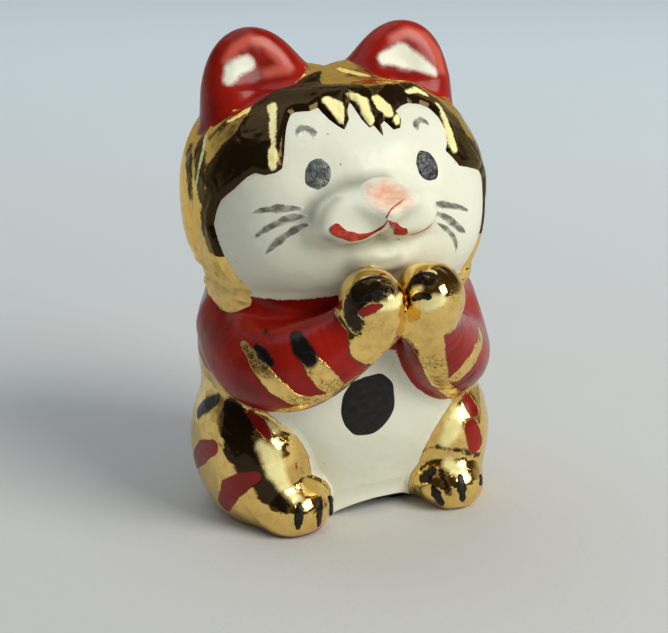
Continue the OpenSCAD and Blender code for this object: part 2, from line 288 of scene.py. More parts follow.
def ear_level(side, points):
    """0 on the ear's skin, less inside: the reach in width, depth and height taken together."""
    q, t = into_ear(side, points)
    centre = ear_centre(t)
    x = q[..., 0] - centre[..., 0]
    y = q[..., 1] - centre[..., 1]
    inward = (x < 0) * 1.0
    spread = ear_spread(q[..., 2])
    width = EAR_WIDTH + inward * EAR_SKIRT * spread
    depth = EAR_DEPTH + 0.7 * spread
    return np.sqrt((x / width) ** 2 + ((y - ear_dish(x, y, t)) / depth) ** 2 + np.clip(t, 0, 2) ** 2.8) - 1


def ear_distance(side, points):
    """The ear's level divided by its slope, which is close to a distance near the skin."""
    step = 0.05
    level = ear_level(side, points)
    slope = np.stack([ear_level(side, points + step * np.eye(3)[i]) - level for i in range(3)], -1) / step
    return level / np.maximum(np.linalg.norm(slope, axis=-1), 0.1)


def bare_ear_distance(side, points):
    """The distance from the ear without its skirt towards the crown."""
    q, t = into_ear(side, points)
    centre = ear_centre(t)
    x, y = q[..., 0] - centre[..., 0], q[..., 1] - centre[..., 1]
    level = np.sqrt((x / EAR_WIDTH) ** 2 + (y / EAR_DEPTH) ** 2 + np.clip(t, 0, 2) ** 2.8) - 1
    return level * 3.0


JOIN = 0.42
PAW_JOIN = 0.22
FAR = 3.5


def near_only(points, centre, radius, measure):
    """measure(points) where points are within FAR of a sphere, and the gap to the sphere elsewhere."""
    gap = np.linalg.norm(points - centre, axis=-1) - radius
    close = gap < FAR
    gap[close] = measure(points[close])
    return gap


def clay_parts(points):
    """The distance from each clay form, by name; the paws come last."""
    parts = {"head": lambda p: ball_distance(head, p), "torso": torso_distance}
    spheres = {"head": ((0, 0.5, 22.5), 12.5), "torso": ((0, 0.5, 8.5), 15.0)}
    parts["tail"] = lambda p: ball_distance(tail, p)
    spheres["tail"] = ((1.2, 8.9, 4.2), 3.8)
    for name, side in SIDES.items():
        parts[name + "_ear"] = lambda p, side=side: ear_distance(side, p)
        spheres[name + "_ear"] = ((side * 5.0, 1.5, 29.5), 7.0)
        parts[name + "_foreleg"] = lambda p, name=name: foreleg_distance(name, p)
        spheres[name + "_foreleg"] = ((side * 5.8, -6.0, 12.8), 9.6)
        parts[name + "_haunch"] = lambda p, name=name: ball_distance(haunches[name], p)
        spheres[name + "_haunch"] = ((side * 7.2, -0.9, 5.1), 7.2)
        parts[name + "_foot"] = lambda p, name=name: ball_distance(feet[name], p)
        spheres[name + "_foot"] = ((side * 6.2, -5.0, 1.5), 5.2)
    for name, side in SIDES.items():
        parts[name + "_paw"] = lambda p, name=name: ball_distance(paws[name], p)
        spheres[name + "_paw"] = ((side * 2.15, -11.2, 17.7), 3.6)
    return {part: near_only(points, *spheres[part], measure) for part, measure in parts.items()}


def clay_distance(points):
    """The soft union of the clay forms: minus JOIN times the log of the sum of exp(-distance / JOIN).

    The two paws join it last, in the same way but with the tighter PAW_JOIN.
    """
    gaps = clay_parts(points)
    total = 1e-30
    for name, gap in gaps.items():
        if not name.endswith("_paw"):
            total = total + np.exp(np.clip(-gap / JOIN, -40, 40))
    body = -JOIN * np.log(total)
    hands = np.minimum(gaps["left_paw"], gaps["right_paw"])
    pair = np.exp(np.clip(-body / PAW_JOIN, -60, 60)) + np.exp(np.clip(-hands / PAW_JOIN, -60, 60))
    return -PAW_JOIN * np.log(pair)


# ---------- skins ----------
def grid_normals(grid):
    """Outward unit normals of a closed grid whose rows climb and whose columns run counter-clockwise."""
    across = np.roll(grid, -1, 1) - np.roll(grid, 1, 1)
    up = np.gradient(grid, axis=0)
    return unit(np.cross(across, up))


def settle(grid, reach=1.6, rounds=9, sink=0.0):
    """Pushes a grid out along its normals until it meets the soft union, by at most reach.

    sink leaves it that much lower, so where two pieces share a join the same one always shows.
    """
    normals = grid_normals(grid)
    out = np.zeros(grid.shape[:-1])
    for _ in range(rounds):
        here = grid + normals * out[..., None]
        out = np.clip(out - 0.85 * (clay_distance(here) + sink), 0, reach)
    return grid + normals * out[..., None]


def skin_faces(rows, cols):
    """Four-sided faces between the rows, and a fan of triangles round each end point."""
    i, j = np.meshgrid(np.arange(rows - 1), np.arange(cols), indexing="ij")
    k = (j + 1) % cols
    quads = np.stack([i * cols + j, i * cols + k, (i + 1) * cols + k, (i + 1) * cols + j], -1).reshape(-1, 4)
    j = np.arange(cols)
    k = (j + 1) % cols
    first, last = rows * cols, rows * cols + 1
    top = (rows - 1) * cols
    fans = np.concatenate([
        np.stack([np.full(cols, first), k, j], -1),
        np.stack([np.full(cols, last), top + j, top + k], -1),
    ])
    return quads, fans


PAINTS = ("red_edge", "gold_edge", "black_edge", "dark_edge", "white_edge", "highlight_edge", "shade", "core")


def make_piece(name, parts, nodes, material, paint=None):
    """Closed grids become one smooth mesh object that rides on the root and stands for CAD nodes."""
    points, quads, fans, count = [], [], [], 0
    for part in parts:
        grid, tips = part[:2]
        rows, cols = grid.shape[:2]
        four, three = skin_faces(rows, cols)
        points += [grid.reshape(-1, 3), tips]
        quads.append(four + count)
        fans.append(three + count)
        count += rows * cols + 2
    points, quads, fans = np.concatenate(points), np.concatenate(quads), np.concatenate(fans)
    mesh = bpy.data.meshes.new(name)
    mesh.vertices.add(len(points))
    mesh.vertices.foreach_set("co", place(points).ravel())
    corners = np.concatenate([quads.ravel(), fans.ravel()])
    starts = np.concatenate([np.arange(len(quads)) * 4, len(quads) * 4 + np.arange(len(fans)) * 3])
    mesh.loops.add(len(corners))
    mesh.loops.foreach_set("vertex_index", corners.astype(np.int32))
    mesh.polygons.add(len(starts))
    mesh.polygons.foreach_set("loop_start", starts.astype(np.int32))
    mesh.update(calc_edges=True)
    mesh.validate()
    mesh.polygons.foreach_set("use_smooth", np.ones(len(mesh.polygons), bool))
    fields = paint(points) if paint else {}
    if len(parts[0]) == 3:
        fields["core"] = np.concatenate([part[2] for part in parts])
    for field in PAINTS:
        values = fields.get(field, np.full(len(points), 0.0 if field in ("shade", "core") else -9.0))
        layer = mesh.attributes.new(field, "FLOAT", "POINT")
        layer.data.foreach_set("value", np.ascontiguousarray(values, np.float32))
    mesh.materials.append(material)
    piece = bpy.data.objects.new(name, mesh)
    bpy.context.scene.collection.objects.link(piece)
    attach(piece, "root")
    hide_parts(*nodes)
    return piece


def closed(grid, tips, core=None):
    """Turns the columns round if the closed grid's faces point inwards, told from its signed volume."""
    points = np.concatenate([grid.reshape(-1, 3), tips])
    quads, fans = skin_faces(*grid.shape[:2])
    triangles = np.concatenate([quads[:, [0, 1, 2]], quads[:, [0, 2, 3]], fans])
    a, b, c = (points[triangles[:, i]] - points.mean(0) for i in range(3))
    inward = np.einsum("ij,ij->i", a, np.cross(b, c)).sum() < 0
    if core is None:
        return (grid[:, ::-1] if inward else grid), tips
    return ((grid[:, ::-1] if inward else grid), tips), (core[:, ::-1] if inward else core)


# ---------- brush strokes: knots of x, y, z and radius ----------
# Most knots from here to RIGHT_WHISKERS were printed by a separate program that cast points onto the
# clay forms. They are not numbers chosen by hand.
ARM_GOLD = (
    ((-9.59, -6.87, 14.7, 0.17), (-9.45, -8.38, 14.16, 0.43), (-9.15, -9.43, 13.42, 0.59),
     (-8.59, -10.15, 12.6, 0.66), (-7.57, -10.58, 11.69, 0.59), (-6.39, -10.81, 11.38, 0.53),
     (-5.21, -11.07, 11.65, 0.46), (-4.3, -11.29, 12.16, 0.46), (-3.34, -11.41, 12.76, 0.4)),
    ((-6.75, -11.39, 14.55, 0.52), (-6.22, -11.81, 13.85, 0.72), (-5.55, -11.87, 13.02, 0.78),
     (-4.95, -11.64, 12.44, 0.66)),
    ((-8.06, -5.41, 8.97, 0.21), (-7.61, -9.39, 10.51, 0.33), (-6.81, -10.08, 10.77, 0.46),
     (-5.84, -10.87, 11.4, 0.4), (-4.46, -11, 11.8, 0.3), (-1.81, -7.94, 10.98, 0.27),
     (-0.49, -8, 11.76, 0.27)),
    ((-3.59, -12.59, 16.15, 0.78), (-3.12, -12.66, 15.42, 1.2), (-1.68, -12.18, 14.67, 1.2)),
    ((0.28, -12.28, 16.66, 1.3), (1.1, -12.44, 15.36, 1.4), (2.29, -11.31, 13.31, 0.94),
     (3.76, -9.65, 10.76, 0.69)),
    ((7.2, -8.83, 14.07, 0.28), (6.25, -10.39, 13.21, 0.55), (5.38, -10.78, 12.36, 0.68),
     (4.57, -10.46, 11.43, 0.55)),
    ((2.79, -10.33, 11.92, 0.55), (3.82, -9.68, 10.76, 0.62), (4.99, -8.79, 9.79, 0.63),
     (6.9, -6.34, 8.31, 0.43)),
)
ARM_BLACK = (
    ((-9.11, -8.05, 14.78, 0.26), (-8.96, -8.95, 14.49, 0.46), (-8.74, -9.67, 14.13, 0.33)),
    ((-7.01, -9.79, 15.88, 0.39), (-6.93, -10.8, 15.28, 0.65), (-6.7, -11.43, 14.55, 0.59)),
    ((-8.21, -7.38, 15.51, 0.2), (-8.26, -7.7, 15.48, 0.2)),
    ((6.38, -9.94, 11.44, 0.12), (5.54, -9.81, 10.71, 0.15), (4.84, -9.36, 10.22, 0.15)),
)
LEG_RED = (
    ((-10.93, -0.2, 3.98, 0.65), (-10.98, -1.78, 5.19, 0.85), (-10.69, -3.37, 6.11, 0.56)),
    ((-10.01, -3.48, 1.57, 0.57), (-10.03, -4.9, 3.36, 0.84), (-9.45, -6, 4.37, 0.69),
     (-8.78, -6.59, 4.79, 0.48)),
    ((-8.46, -5.11, 8.85, 0.34), (-8.04, -5.72, 8.27, 0.48), (-7.67, -6.28, 7.53, 0.24)),
    ((7.82, -6.85, 5.97, 0.65), (8.17, -6.88, 4.69, 0.72)),
    ((7.87, -6.04, 7.91, 0.51), (8.22, -6.34, 7.12, 0.51)),
)
LEG_BLACK = (
    ((-10.67, -0.39, 7.68, 0.5), (-10.39, -1.17, 8.44, 0.64), (-9.95, -2.07, 9.14, 0.49)),
)
# Painted dark reflection on the gold of the cat's right haunch; the thin strokes are dark lines on the left
# hind foot.
LEG_DARK = (
    ((-9.47, -3.64, 9.01, 0.76), (-9.44, -4.72, 8.05, 1.24), (-9.55, -5.56, 6.67, 1.31),
     (-9.22, -6.22, 5.61, 0.96),
     (-8.48, -6.74, 4.57, 0.83), (-7.86, -6.82, 3.45, 0.83), (-7.03, -7.53, 2.63, 0.41)),
    ((4.18, -6.23, 2.35, 0.36), (4.8, -6.59, 3.09, 0.36)),
    ((5.3, -7.02, 3.18, 0.2), (5.36, -7.75, 2.36, 0.28), (5.45, -7.91, 1.64, 0.16)),
    ((4.32, -6.04, 4.44, 0.14), (5.43, -6.54, 4.76, 0.14), (6.97, -7.02, 4.38, 0.14),
     (8.68, -6.58, 3.64, 0.15)),
)
# Painted highlights on the gold of the haunches and hind feet.
LEG_HIGHLIGHT = (
    ((-8.18, -6.44, 6.93, 0.41), (-7.67, -6.81, 6.25, 0.69), (-7.39, -7, 5.24, 0.69),
     (-6.8, -6.98, 4.02, 0.48),
     (-6.05, -7.5, 3.12, 0.42)),
    ((-7.4, -5.98, 8.26, 0.21), (-6.99, -6.25, 7.86, 0.28)),
    ((4.36, -7.28, 8.01, 0.35), (4.54, -6.67, 6.25, 0.21)),
    ((6.69, -6.47, 7.39, 0.36), (6.39, -6.8, 6.17, 0.65), (5.81, -6.73, 5.16, 0.43)),
    ((5.91, -6.93, 3.59, 0.43), (6.44, -7.48, 3.17, 0.5), (6.87, -7.94, 2.65, 0.36)),
)
# Painted dark reflection on the paws' gold.
PAW_DARK = (
    ((-4.15, -12.24, 17.07, 0.75), (-4.08, -12.39, 18.25, 0.82), (-3.62, -12.62, 19.07, 0.78),
     (-2.76, -12.89, 19.44, 0.64), (-1.96, -13.31, 19.2, 0.45)),
    ((-4.03, -12.29, 16.52, 0.52), (-3.82, -12.77, 17.18, 0.52)),
    ((0.33, -11.94, 18.9, 0.33), (0.78, -12.36, 19.37, 0.42), (1.31, -12.91, 19.39, 0.33)),
    ((0.15, -11.74, 18.45, 0.14), (0.15, -12.07, 17.72, 0.14)),
)
PAW_RED = (
    ((-3.65, -13.03, 17.84, 0.32), (-3.1, -13.35, 18.14, 0.39), (-2.56, -13.56, 18.33, 0.19)),
)
EAR_WHITE = (
    ((-7.64, 0.48, 31.06, 0.41), (-7.17, 0.74, 31.81, 0.61), (-6.2, 0.8, 32.01, 0.55)),
    ((3.71, -0.04, 31.94, 0.42), (5.15, 0.05, 32.05, 0.85), (6.26, -0.25, 31.46, 0.57),
     (7.21, -0.74, 30.83, 0.35)),
)
UNDER_EAR_RED = (
    ((-9.16, 1.9, 28.3, 0.62), (-8.77, 0.48, 28.66, 0.75), (-8.32, 0.08, 29.32, 0.82),
     (-7.66, -0.12, 30.06, 0.61)),
)
# Painted highlights on the paws' gold.
PAW_HIGHLIGHT = (
    ((-2.38, -13.63, 18.33, 0.32), (-1.54, -13.65, 18.44, 0.39), (-0.98, -13.21, 18.72, 0.26)),
    ((0.47, -12.75, 17.87, 0.39), (1.03, -13.4, 17.99, 0.52), (1.67, -13.7, 18.27, 0.39)),
    ((0.43, -12.37, 18.73, 0.26), (0.64, -12.68, 18.86, 0.2)),
)
# Painted reflection: a broad pink sheen on the glossy red inside the ears.
EAR_REFLECTION = (
    ((-7.54, 1.09, 32.32, 0.27), (-6.82, 1.24, 33.15, 0.34), (-5.79, 1.24, 33.63, 0.34),
     (-4.71, 1.03, 33.26, 0.34),
     (-3.83, 0.68, 32.36, 0.41), (-3.46, 0.3, 31.64, 0.41), (-4.79, 0.5, 31.35, 0.27)),
    ((4.53, 0.41, 33.23, 0.28), (5.78, 0.44, 33.65, 0.35), (7.04, 0.28, 33.11, 0.42),
     (7.86, -0.03, 32.04, 0.43),
     (8.01, -0.56, 30.9, 0.28)),
)
HOOD_SATIN = (
    ((-10.31, -1.22, 21.55, 0.55), (-10.04, -0.9, 19.67, 0.69), (-9.6, -0.9, 17.6, 1.0),
     (-9.2, -2.26, 16.86, 1.5),
     (-8.6, -3.6, 17.2, 1.6)),
)
# Painted dark reflection on the hood's gold by the cat's right ear and temple.
HOOD_DARK = (
    ((-9.2, 1.17, 27.74, 0.62), (-9.71, 0.22, 26.43, 0.61), (-10.1, -0.86, 25.15, 0.75),
     (-10.25, -1.41, 24.04, 0.6),
     (-10.23, -1.92, 23.24, 0.4)),
    ((-9.82, 1.83, 26.13, 0.5), (-10.25, 0.85, 24.81, 0.5), (-10.42, 0.25, 23.34, 0.45)),
)
# Painted highlights on the hood's gold.
HOOD_HIGHLIGHT = (
    ((-5.55, -2.56, 29.43, 0.3), (-5.91, -3.67, 28.91, 0.2), (-6.55, -5.28, 27.57, 0.17),
     (-6.77, -5.67, 27, 0.24),
     (-6.92, -6.21, 26.11, 0.2)),
    ((-2.22, -4.01, 29.78, 0.34), (-1.94, -4.57, 29.58, 0.5), (-2.06, -5.51, 29.08, 0.33),
     (-2.14, -6.05, 28.71, 0.13)),
    ((-0.52, -3.8, 29.96, 0.2), (-0.02, -4.52, 29.71, 0.4), (-0.17, -5.86, 29, 0.3),
     (-0.19, -6.39, 28.62, 0.2)),
    ((1.06, -4.42, 29.75, 0.34), (1.19, -5.29, 29.34, 0.47), (1.31, -5.83, 29.02, 0.27)),
    ((1.65, -6.39, 28.62, 0.27), (1.86, -6.09, 28.82, 0.2)),
    ((3.63, -3.56, 29.77, 0.21), (4.66, -2.84, 29.72, 0.28), (5.31, -2.94, 29.48, 0.21)),
    ((5.88, -3.68, 29, 0.14), (5.65, -5.27, 28.32, 0.21), (5.5, -6.37, 27.5, 0.31),
     (5.55, -7.05, 26.58, 0.27)),
    ((-9.08, 0.47, 27.72, 0.16), (-9.61, -0.35, 26.53, 0.14), (-10.13, -0.72, 25.13, 0.12),
     (-10.35, -0.65, 23.88, 0.1)),
)
# Painted shade in the creases round and under the muzzle, which also stands for glaze pooled darker there.
MUZZLE_SHADE = (
    ((-5.37, -8.96, 23.62, 0.33), (-4.95, -8.64, 24.25, 0.46), (-3.93, -8.41, 24.84, 0.39),
     (-2.66, -8.44, 25.26, 0.36),
     (-1.46, -8.96, 25.53, 0.29), (-0.37, -9.09, 25.66, 0.2)),
    ((-5.12, -9.89, 23.28, 0.15), (-4.75, -9.68, 24.06, 0.2), (-3.92, -9.39, 24.58, 0.15)),
    ((-2.65, -9.11, 20.13, 0.1), (-1.27, -9.74, 20.07, 0.15), (0.42, -9.72, 20.15, 0.1)),
    ((-4.52, -9.79, 22.13, 0.26), (-2.59, -8.96, 21.25, 0.26), (-0.82, -8.88, 21.38, 0.2)),
)

# Enamel lines: knots of x, y, z and width.
LEFT_FOOT_LINES = (
    ((5.06, -6.7, 3.25, 0.44), (4.31, -6.63, 2.25, 0.72)),
    ((4.56, -7.11, 2.17, 0.48), (4.81, -7.46, 1.41, 0.72), (5.31, -7.45, 0.53, 0.5)),
    ((6.49, -7.71, 2.94, 0.48), (6.44, -8.16, 2.03, 0.68), (6.64, -8, 0.84, 0.5)),
    ((8.44, -7.27, 2.45, 0.38), (8.3, -7.58, 1.65, 0.58)),
)
RIGHT_FOOT_LINES = (
    ((-5.92, -7.74, 2.89, 0.44), (-6.15, -8.12, 2.04, 0.64), (-6.19, -8.01, 0.94, 0.52)),
    ((-4.14, -7.25, 2.85, 0.44), (-4.5, -7.93, 1.97, 0.58), (-4.47, -7.66, 0.72, 0.48)),
    ((-2.68, -5.59, 1.93, 0.34), (-2.57, -5.32, 1.03, 0.42), (-2.5, -5.15, 0.17, 0.34)),
)
RIGHT_PAW_LINES = (
    ((-3.71, -12.83, 18.53, 0.34), (-3.08, -13.15, 18.88, 0.56), (-2.13, -13.37, 19.1, 0.44)),
    ((-4.03, -11.96, 18.93, 0.26), (-3.33, -12.11, 19.7, 0.28), (-2.38, -12.36, 19.9, 0.28),
     (-1.45, -12.67, 19.64, 0.26)),
)
LEFT_PAW_LINES = (
    ((0.25, -12.29, 17.98, 0.34), (0.58, -12.81, 18.42, 0.54), (1.13, -13.45, 18.4, 0.44)),
    ((0.27, -11.77, 18.86, 0.26), (0.82, -11.96, 19.6, 0.34), (1.43, -12.49, 19.74, 0.32),
     (1.95, -13.08, 19.43, 0.26)),
)
MOUTH = (
    ((-1.12, -11.4, 23.64, 0.14), (-1.79, -10.37, 22.46, 0.3), (-3.18, -10.31, 22.25, 0.72),
     (-4.12, -10.18, 22.72, 0.9),
     (-4.55, -10.03, 23.12, 1.0)),
    ((-1.1, -11.34, 23.49, 0.2), (-0.33, -10.62, 22.77, 0.6), (0.45, -10.21, 22.12, 0.95),
     (0.87, -10.1, 21.92, 0.75)),
)
PHILTRUM = (
    ((0.22, -11.1, 24.57, 0.11), (-0.43, -11.27, 24.27, 0.12), (-0.92, -11.42, 24.02, 0.13),
     (-1.23, -11.32, 23.56, 0.18)),
    ((0.95, -10.11, 21.91, 0.1), (1.76, -10.24, 22.06, 0.07), (2.67, -10.17, 22.57, 0.06)),
)
LEFT_WHISKERS = (
    ((2.99, -9.76, 23.74, 0.26), (4.58, -8.69, 23.21, 0.54), (5.85, -8.29, 22.79, 0.4),
     (6.57, -7.95, 22.43, 0.28)),
    ((2.92, -10.09, 23.14, 0.26), (4.7, -8.79, 22.18, 0.54), (5.62, -8.51, 21.46, 0.54),
     (6.38, -8.11, 20.87, 0.28)),
    ((3.48, -9.13, 22.24, 0.26), (4.72, -8.79, 21.34, 0.4), (5.32, -8.55, 20.45, 0.4),
     (5.46, -8.31, 19.74, 0.28)),
)
RIGHT_WHISKERS = (
    ((-8.47, -5.92, 23.29, 0.34), (-7.52, -6.78, 23.67, 0.52), (-6.52, -7.46, 23.79, 0.56),
     (-5.64, -8.08, 23.85, 0.34)),
    ((-8.45, -6.19, 21.65, 0.34), (-7.71, -6.87, 22.42, 0.52), (-6.75, -7.49, 23.01, 0.6),
     (-5.58, -8.62, 23.43, 0.34)),
    ((-7.89, -6.71, 20.56, 0.34), (-7.15, -7.39, 21.61, 0.52), (-6.33, -7.84, 22.31, 0.6),
     (-5.48, -9.07, 22.99, 0.32)),
)


# ---------- clay pieces ----------
def head_grid(rows=230, cols=400):
    """The head ball, its columns closer together on the face, settled on the union."""
    turn = np.linspace(-np.pi, np.pi, cols, endpoint=False)
    bearing = np.degrees(turn - 0.35 * np.sin(turn))
    rise = np.linspace(-90, 90, rows + 2)[1:-1]
    direction = heading(bearing[None, :], rise[:, None])
    grid = out_of_ball(head, direction * ball_radius(head, direction)[..., None])
    grid = settle(grid, sink=0.07)
    tips = np.array([grid[0].mean(0), grid[-1].mean(0)])
    return grid, tips


def head_skin(bearing, rise):
    """Points of the head ball's skin from bearings and height angles in the head's own turn."""
    direction = heading(bearing, rise)
    return out_of_ball(head, direction * ball_radius(head, direction)[..., None])


# The face's edge under the hood, as bearing and height angle, up the cat's right side and down its left.
# A separate program worked out most of these too.
FACE_EDGE = (
    (0, -62), (-46, -44), (-54.8, -28.2), (-61.7, -15.4), (-65.9, -5.1), (-63.8, 0.8), (-61.6, 4.7),
    (-55.7, 9.5), (-50.6, 14.6), (-47.7, 16.3), (-43.7, 15.8), (-39.8, 17.0), (-37.8, 18.6), (-38.0, 23.6),
    (-39.0, 28.8), (-40.9, 36.6), (-41.7, 42.4), (-39.4, 44.4), (-31.8, 45.7), (-26.7, 48.7), (-23.8, 45.6),
    (-19.2, 41.2), (-15.3, 38.2), (-12.1, 36.2), (-9.0, 41.4), (-8.5, 47.3), (-5.5, 52.5), (-3.4, 52.0),
    (-2.4, 46.5), (-1.0, 41.0), (1.4, 36.8), (4.2, 37.8), (6.6, 32.4), (7.6, 37.5), (11, 39.5), (13.6, 34.4),
    (17.2, 34.8), (20.9, 38.8), (21.5, 43.3), (29.0, 45.7), (36.4, 46.2), (44.8, 43.5), (48.0, 40.0),
    (46.4, 34.5), (43.1, 29.4), (38.5, 23.6), (35.7, 21.1), (38.0, 17.5), (39.7, 14.5), (47.8, 12.0),
    (55.7, 9.5), (61.6, 4.7), (65.9, -5.1), (61.7, -15.4), (54.8, -28.2), (46, -44),
)
HEAD_REACH = 10.2


def inside(outline, u, v):
    """True where (u, v) lies inside a closed outline, counted by crossings."""
    within = np.zeros(u.shape, bool)
    for (u0, v0), (u1, v1) in zip(outline, outline[1:] + outline[:1]):
        if v0 != v1:
            crosses = (v0 > v) != (v1 > v)
            within ^= crosses & (u < (u1 - u0) * (v - v0) / (v1 - v0) + u0)
    return within


def line_gap(points, line, radii=None):
    """Distance from points to a line through knots, less the line's radius where it is nearest."""
    best = np.full(points.shape[:-1], 1e9)
    for i in range(len(line) - 1):
        a, edge = line[i], line[i + 1] - line[i]
        u = np.clip(((points - a) @ edge) / max(edge @ edge, 1e-12), 0, 1)
        gap = np.linalg.norm(points - a - u[..., None] * edge, axis=-1)
        if radii is not None:
            gap = gap - (radii[i] + u * (radii[i + 1] - radii[i]))
        best = np.minimum(best, gap)
    return best


def face_depth(bearing, rise):
    """Millimetres inside the face's edge, less than 0 under the hood."""
    edge = np.array(FACE_EDGE + FACE_EDGE[:1], float)
    gap = HEAD_REACH * line_gap(heading(bearing, rise), heading(edge[:, 0], edge[:, 1]))
    return np.where(inside(FACE_EDGE, bearing, rise), gap, -gap)


def hem_rise(bearing):
    """The hood's lower edge: two side locks that come down lowest, wavy, and a higher nape."""
    off = np.abs(bearing)
    lock = np.exp(-(((off - 68) / 22) ** 2))
    return -31.5 - 2.4 * lock + 0.7 * np.sin(np.radians(off * 16))


def stroke_field(points, strokes):
    """Millimetres inside the nearest of several brush strokes, each a line of (x, y, z, radius) knots."""
    best = nowhere(points)
    for stroke in strokes:
        knots = np.array(stroke, float)
        best = np.maximum(best, -line_gap(points, knots[:, :3], knots[:, 3]))
    return best


def nowhere(points):
    return np.full(points.shape[:-1], -9.0)


def ear_red(points):
    """Millimetres inside the red of the ears, which runs on down the cat's right temple."""
    gap = np.minimum(bare_ear_distance(1, points), bare_ear_distance(-1, points))
    return np.maximum(0.35 - gap, stroke_field(points, UNDER_EAR_RED))


GOLD_LIFT = 0.26
HOOD_LOW, HOOD_HIGH = -45.0, 89.2
LINING = 1.3


def hood_lift(bearing, rise, ear_gap):
    """Height of the gold over the clay: GOLD_LIFT inside its edge, a crown ridge, and a dip outside.

    Low down near the hem it stands a little higher, to clear the shoulders.
    """
    depth = -face_depth(bearing, rise)
    hem = (rise - hem_rise(bearing)) * math.radians(HEAD_REACH)
    depth = np.minimum(np.minimum(depth, hem), ear_gap)
    lift = -0.14 + (GOLD_LIFT + 0.14) * smooth(0.5 + depth / 0.55)
    bead = 0.07 * np.exp(-(((depth - 0.42) / 0.22) ** 2))
    off = np.abs(bearing)
    ridge = 0.45 * np.exp(-(((rise - 59 + off**2 / 450) / 6) ** 2)) * (1 - smooth((off - 80) / 30))
    dip = 0.5 * smooth((-0.4 - depth) / 1.2)
    lift = lift + 0.16 * smooth((-26 - rise) / 3) * smooth(depth / 0.6)
    return lift - dip + (bead + ridge) * smooth(depth / 0.6)


def hood_grid(rows=232, cols=380, inner_rows=20):
    """A cap over the head from its crown to a hem; it runs below the clay wherever the face is bare."""
    turn = np.linspace(-np.pi, np.pi, cols, endpoint=False)
    bearing = np.degrees(turn - 0.3 * np.sin(turn))
    share = np.linspace(0, 1, rows)[:, None]
    rise = HOOD_LOW + (HOOD_HIGH - HOOD_LOW) * share + np.zeros(cols)
    direction = heading(bearing[None, :] + 0 * rise, rise)
    clay = settle(out_of_ball(head, direction * ball_radius(head, direction)[..., None]))
    normals = grid_normals(clay)
    ear_gap = -ear_red(clay)
    lift = hood_lift(bearing[None, :] + 0 * rise, rise, ear_gap)
    outer = clay + normals * lift[..., None]
    back = np.linspace(1, 0, inner_rows)
    pick = np.round(back * (rows - 1)).astype(int)
    lining = clay[pick] - normals[pick] * LINING
    grid = np.concatenate([lining, outer])
    tips = np.array([lining[0].mean(0), outer[-1].mean(0)])
    return grid, tips


ARCH_X, ARCH_WIDTH, ARCH_HEIGHT = 1.5, 8.4, 0.9
ARCH_BACK = -3.5


def lift_arch(grid):
    """Lifts the foot edge in front in a low arch: a parabola across, fading out by 2.5 mm up."""
    share = np.clip(1 - ((grid[..., 0] - ARCH_X) / (ARCH_WIDTH / 2)) ** 2, 0, 1)
    arch = ARCH_HEIGHT * share * smooth((ARCH_BACK - grid[..., 1]) / 0.5)
    grid[..., 2] += arch * np.clip(1 - grid[..., 2] / 2.5, 0, 1)
    return grid


def ball_piece(form, rows, cols, sink=0.0):
    """A ball's grid settled on the union, cut flat at the floor and lifted with the arch."""
    turn = np.linspace(-180, 180, cols, endpoint=False)
    rise = np.linspace(-90, 90, rows + 2)[1:-1]
    direction = heading(turn[None, :] + 0 * rise[:, None], rise[:, None])
    grid = out_of_ball(form, direction * ball_radius(form, direction)[..., None])
    if form["side"] < 0:
        grid = grid[:, ::-1]
    grid = settle(grid, sink=sink)
    grid[..., 2] = np.maximum(grid[..., 2], 0.0)
    lift_arch(grid)
    return grid, np.array([grid[0].mean(0), grid[-1].mean(0)])


def ear_grid(side, rows=110, cols=170):
    """Rings from the ear's root inside the head up to its rounded tip, dished in front."""
    share = np.linspace(0, 1, rows + 1)[:-1]
    t = (1 - (1 - share) ** 2.2)[:, None]
    turn = np.linspace(0, 2 * np.pi, cols, endpoint=False)[None, :]
    inward = (np.cos(turn) < 0) * 1.0
    centre = ear_centre(t + 0 * turn)
    taper = np.sqrt(np.maximum(1 - t**2.8, 0))
    spread = ear_spread(centre[..., 2])
    x = np.cos(turn) * (EAR_WIDTH + inward * EAR_SKIRT * spread) * taper
    y = np.sin(turn) * (EAR_DEPTH + 0.7 * spread) * taper
    grid = centre + np.stack([x, y + ear_dish(x, y, t), 0 * x], -1)
    tips = np.array([EAR_ROOT, EAR_TIP])
    grid, tips = flip(grid, side), flip(tips, side)
    grid, tips = turn_about(grid, "z", HEAD_TURN), turn_about(tips, "z", HEAD_TURN)
    if side < 0:
        grid = grid[:, ::-1]
    return settle(grid), tips


def foreleg_grid(name, rows=120, cols=120, cap_rows=16):
    """A tube along the foreleg's line with round ends."""
    t = np.linspace(0, 1, rows)
    at, along = foreleg_line(name, t)
    radius = foreleg_radius(t)
    angle = np.linspace(90, 0, cap_rows, endpoint=False)[1:]
    first = [at[0] - along[0] * radius[0] * math.sin(math.radians(a)) for a in angle]
    last = [at[-1] + along[-1] * radius[-1] * math.sin(math.radians(a)) for a in angle[::-1]]
    centres = np.array(first + list(at) + last)
    lines = np.concatenate([np.repeat(along[:1], len(angle), 0), along, np.repeat(along[-1:], len(angle), 0)])
    shrink = np.cos(np.radians(angle))
    radii = np.concatenate([radius[0] * shrink, radius, radius[-1] * shrink[::-1]])
    across = unit(np.cross(lines, [0, 0, 1.0]))
    over = np.cross(across, lines)
    turn = np.linspace(0, 2 * np.pi, cols, endpoint=False)[None, :, None]
    spoke = across[:, None] * np.cos(turn) + over[:, None] * np.sin(turn)
    grid = centres[:, None] + radii[:, None, None] * spoke
    tips = np.array([at[0] - along[0] * radius[0], at[-1] + along[-1] * radius[-1]])
    grid, tips = flip(grid, SIDES[name]), flip(tips, SIDES[name])
    grid, tips = closed(grid, tips)
    return settle(grid, sink=0.02), tips


WALL = 1.9
HOLLOW_TOP = 15.0


